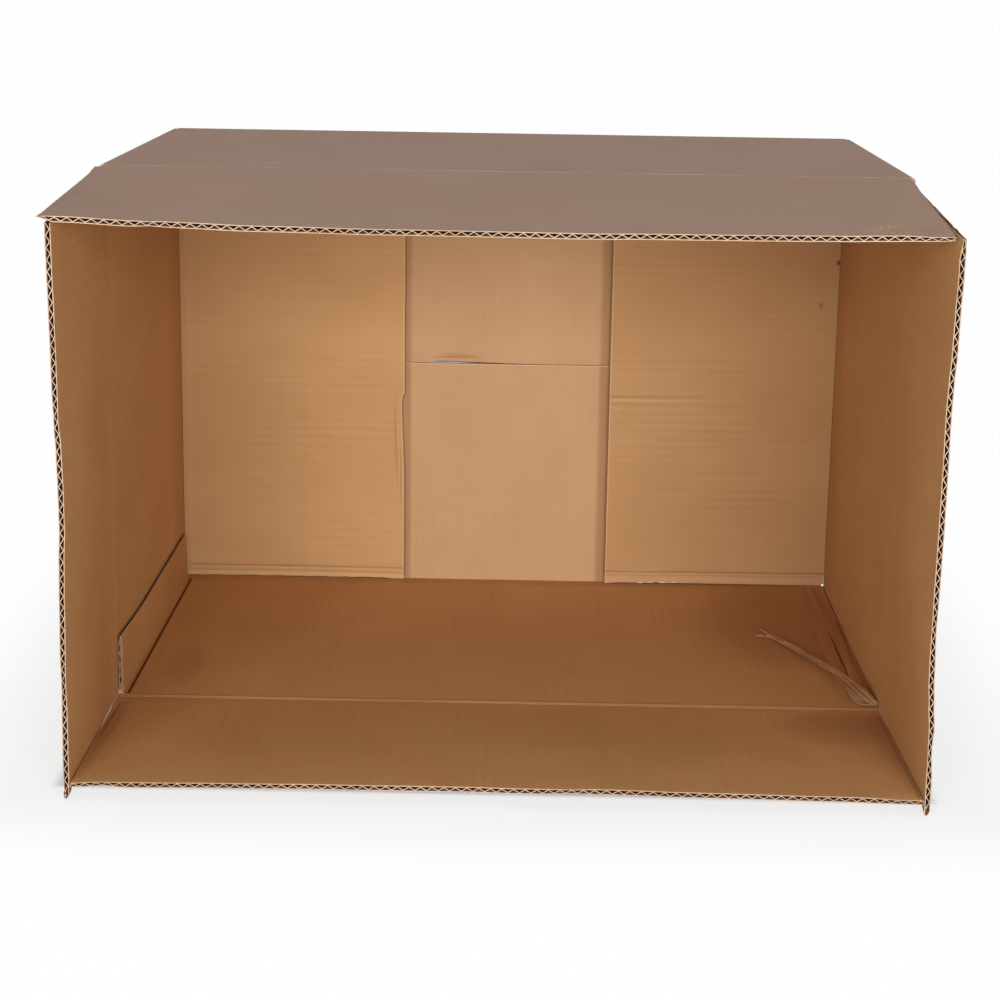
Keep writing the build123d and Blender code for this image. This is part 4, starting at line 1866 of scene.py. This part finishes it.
@dataclass
class SlotWaste:
    """The strip of waste that was torn from the right front slot and still hangs on."""

    finishes: Finishes

    def build(self) -> None:
        """Builds the strip, its splinters and the torn folds at its root."""
        pieces = [
            Shred(
                "strip_body",
                (millimetres(224, 112, 5.6), millimetres(232.8, 91.4, 6.5), millimetres(244.6, 61.3, 7.5),
                 millimetres(259.2, 22.3, 9), millimetres(273, -18, 10.6), millimetres(278.5, -40, 10.4),
                 millimetres(283.5, -55, 8.4), millimetres(287.3, -65, 5.8)),
                (3.4 * MM, 4.8 * MM, 5.6 * MM, 5.8 * MM, 6.2 * MM, 8.4 * MM, 7.2 * MM, 2.4 * MM),
                1.2 * MM, roll=(8, 12, 14, 18), seed=2, along=90, ridge_height=0.45 * MM,
            ),
            Shred(
                "strip_upper_splinter",
                (millimetres(217.5, 131.5, 5.2), millimetres(221, 122, 5.4), millimetres(226, 108, 5.8)),
                (0.5 * MM, 1.5 * MM, 2.6 * MM), 0.6 * MM, ridges=0.5, seed=3, across=4, along=20,
            ),
            Shred(
                "strip_lower_splinter",
                (millimetres(211.8, 109, 4.8), millimetres(218, 111, 5.1), millimetres(226, 105, 5.6)),
                (0.4 * MM, 1.2 * MM, 2.2 * MM), 0.6 * MM, ridges=0.5, seed=4, across=4, along=20,
            ),
            Shred(
                "strip_root_fold",
                (millimetres(270.5, -34, 9.0), millimetres(275.5, -49, 6.8), millimetres(280.5, -57, 5.8),
                 millimetres(286, -61, 5.4)),
                (2.0 * MM, 9.5 * MM, 10.0 * MM, 5.0 * MM), 0.9 * MM, roll=(0, 4, 4, 0), ridges=0.5,
                seed=6, along=30,
            ),
            Shred(
                "strip_root_curl",
                (millimetres(283.5, -57, 7.6), millimetres(286.6, -62, 8.2), millimetres(288.6, -64.8, 6.8),
                 millimetres(288.0, -66.2, 5.0)),
                (2.4 * MM, 2.6 * MM, 2.0 * MM, 0.8 * MM), 0.5 * MM, roll=(30, 40, 50, 60), ridges=0.5,
                seed=7, across=6, along=24,
            ),
        ]
        built = [piece.build(self.finishes.torn) for piece in pieces]
        deliver(join("torn_slot_strip_fibres", built), Body.CARTON, "torn_board", "torn_slot_strip")

        scraps = [
            Shred(
                "left_slot_scrap",
                (millimetres(-286.5, -61.5, 5.0), millimetres(-288, -64, 6.2), millimetres(-289, -65.8, 5.0)),
                (2.6 * MM, 3.0 * MM, 1.0 * MM), 0.5 * MM, roll=(-30, -50, -60), ridges=0.5, seed=8,
                across=6, along=16,
            ),
        ]
        for scrap in scraps:
            deliver(scrap.build(self.finishes.torn), Body.CARTON, "torn_board")


@dataclass(frozen=True)
class Studio:
    """Floor, light and camera."""

    camera_place: Vector = millimetres(18.0, -1673.05, 559.35)
    focal_pixels: float = 2219.6
    image_width: int = 1000
    sensor: float = 36.0
    yaw: float = -0.01174
    pitch: float = 0.24245
    roll: float = 0.01538
    floor_size: float = 60.0

    def camera(self) -> None:
        """Sets the camera at the place from which the box was photographed."""
        forward = Vector((
            math.sin(self.yaw) * math.cos(self.pitch),
            math.cos(self.yaw) * math.cos(self.pitch),
            -math.sin(self.pitch),
        ))
        level = Vector((math.cos(self.yaw), -math.sin(self.yaw), 0))
        upright = level.cross(forward)
        right = level * math.cos(self.roll) + upright * math.sin(self.roll)
        up = upright * math.cos(self.roll) - level * math.sin(self.roll)
        data = bpy.data.cameras.new("camera")
        data.sensor_width = self.sensor
        data.lens = self.focal_pixels * self.sensor / self.image_width
        data.clip_end = 200
        camera = bpy.data.objects.new("camera", data)
        bpy.context.collection.objects.link(camera)
        turn = Matrix((right, up, -forward)).transposed().to_4x4()
        camera.matrix_world = Matrix.Translation(self.camera_place) @ turn
        bpy.context.scene.camera = camera

    def floor(self) -> None:
        """Lays a white floor that keeps the shadow, lightest away from the box."""
        bpy.ops.object.select_all(action="DESELECT")
        bpy.ops.mesh.primitive_plane_add(size=self.floor_size, location=(0, 0, -0.3 * MM))
        floor = bpy.context.object
        floor.name = "studio_floor"
        bench = NodeBench("studio_floor")
        place = bench.node("ShaderNodeTexCoord", {}, {}, "Object")
        beyond = [
            bench.node("ShaderNodeMath", {"operation": "ABSOLUTE"}, {
                0: bench.node("ShaderNodeSeparateXYZ", {}, {0: place}, axis)
            }) - half
            for axis, half in ((0, CARTON.half_long), (1, -FRONT_LONG + CARTON.long_flap))
        ]
        outside = bench.node("ShaderNodeMath", {"operation": "MAXIMUM"},
                             {0: beyond[0] - 8 * MM, 1: beyond[1] + 30 * MM})
        clear = bench.window(outside, -4 * MM, 10 * MM) * 0.74 + bench.window(outside, 0.0, 0.16) * 0.25
        seen = bench.node("ShaderNodeLightPath", {}, {}, "Is Camera Ray")
        shade = bench.mix(seen, (0.8, 0.8, 0.8, 1), (1.0, 1.0, 1.0, 1))
        paper = bench.node("ShaderNodeBsdfDiffuse", {}, {"Color": shade})
        white = bench.node("ShaderNodeEmission", {}, {"Color": (1, 1, 1, 1), "Strength": 1.0})
        bench.node_output(bench.node("ShaderNodeMixShader", {}, {0: seen * clear, 1: paper, 2: white}))
        floor.data.materials.append(bench.material)

    def light(self) -> None:
        """Sets a white surrounding, two soft lamps beside the camera and one overhead."""
        world = bpy.data.worlds.new("studio")
        bpy.context.scene.world = world
        world.use_nodes = True
        tree = world.node_tree
        background = next(node for node in tree.nodes if node.type == "BACKGROUND")
        background.inputs["Color"].default_value = (1, 1, 1, 1)
        path = tree.nodes.new("ShaderNodeLightPath")
        direct = tree.nodes.new("ShaderNodeMath")
        direct.operation = "MAXIMUM"
        tree.links.new(path.outputs["Is Camera Ray"], direct.inputs[0])
        tree.links.new(path.outputs["Is Glossy Ray"], direct.inputs[1])
        level = tree.nodes.new("ShaderNodeMapRange")
        level.inputs["To Min"].default_value = 0.22
        level.inputs["To Max"].default_value = 1.0
        tree.links.new(direct.outputs[0], level.inputs["Value"])
        tree.links.new(level.outputs[0], background.inputs["Strength"])
        middle = Vector((0, 0.2, 0.2))
        self._lamp("left_lamp", Vector((-0.7, -2.4, 0.62)), middle, 0.8, 28)
        self._lamp("right_lamp", Vector((0.7, -2.4, 0.62)), middle, 0.8, 29.5)
        self._lamp("overhead_lamp", Vector((0, 0.3, 2.8)), Vector((0, 0, 0)), 2.6, 20.5)

    @staticmethod
    def _lamp(name: str, place: Vector, target: Vector, size: float, power: float) -> None:
        """Adds one square soft lamp that faces a point."""
        data = bpy.data.lights.new(name, "AREA")
        data.size = size
        data.energy = power
        lamp = bpy.data.objects.new(name, data)
        aim = (target - place).to_track_quat("-Z", "Y").to_matrix().to_4x4()
        lamp.matrix_world = Matrix.Translation(place) @ aim
        bpy.context.collection.objects.link(lamp)


@dataclass(frozen=True)
class PackingTape:
    """Clear glossy packing tape, slightly wrinkled, dusty and more opaque where it bridges the seam, with a
    painted shadow and a painted glint there.
    """

    clear: Colour = srgb(196, 172, 140)
    milky: Colour = srgb(214, 196, 168)
    # glint is a painted reflection and shaded a painted shadow, used where the tape shows through the seam
    # gap.
    glint: Colour = srgb(206, 206, 226)
    shaded: Colour = srgb(92, 76, 66)
    seam_height: float = CARTON.height / 2

    def material(self) -> bpy.types.Material:
        """Makes the material."""
        bench = NodeBench("clear_tape")
        place = bench.node("ShaderNodeTexCoord", {}, {}, "Object")
        wrinkle = bench.noise(bench.stretched(place, (1, 1, 3)), 35, 3, 0.6)
        veil = bench.window(bench.noise(place, 60, 3), 0.3, 0.95)
        height = bench.node("ShaderNodeSeparateXYZ", {}, {0: place}, 2)
        off = height - self.seam_height - 0.8 * MM
        off = bench.node("ShaderNodeMath", {"operation": "ABSOLUTE"}, {0: off})
        beside = bench.node("ShaderNodeMath", {"operation": "ABSOLUTE"}, {
            0: bench.node("ShaderNodeSeparateXYZ", {}, {0: place}, 0) + 20 * MM,
        })
        # Where the tape shows through the seam gap it is dusty and more opaque, and its colour is painted
        # light: a painted shadow on its upper part and a painted glint on its lower part at the left of the
        # gap.
        dust_and_painted_seam_light = (1 - bench.window(off, 1.2 * MM, 2.2 * MM)) * (1 - bench.window(beside, 50 * MM, 70 * MM))
        low = 1 - bench.window(height, self.seam_height + 0.3 * MM, self.seam_height + 0.8 * MM)
        along = bench.node("ShaderNodeSeparateXYZ", {}, {0: place}, 0)
        lit = low * (1 - bench.window(along, -46 * MM, -26 * MM))
        # Painted glint where lit is set, painted shadow elsewhere.
        painted_seam_light = bench.mix(lit, self.shaded, self.glint)
        colour = bench.mix(dust_and_painted_seam_light, bench.mix(veil, self.clear, self.milky), painted_seam_light)
        return bench.finish(
            colour, 0.16, bench.bump(wrinkle * (0.4 * MM)), Alpha=veil * 0.18 + 0.34 + dust_and_painted_seam_light * 0.45, IOR=1.47
        )


def report(piece: bpy.types.Object) -> None:
    """Logs a piece and how many triangles it has."""
    triangles = sum(len(face.vertices) - 2 for face in piece.data.polygons)
    log.info("%s: %d triangles", piece.name, triangles)


def main() -> None:
    """Builds the scene."""
    logging.basicConfig(level=logging.INFO, format="%(name)s: %(message)s")
    studio = Studio()
    studio.camera()
    studio.floor()
    studio.light()
    bpy.context.scene.view_settings.view_transform = "Standard"

    finishes = Finishes()
    Mouth(finishes).build()
    Shell(finishes).build()
    InnerFlaps(finishes).build()
    SlotWaste(finishes).build()

    tape = frame["nodes"]["seam_tape"].data
    tape.materials.clear()
    tape.materials.append(PackingTape().material())


if __name__ == "__main__":
    main()
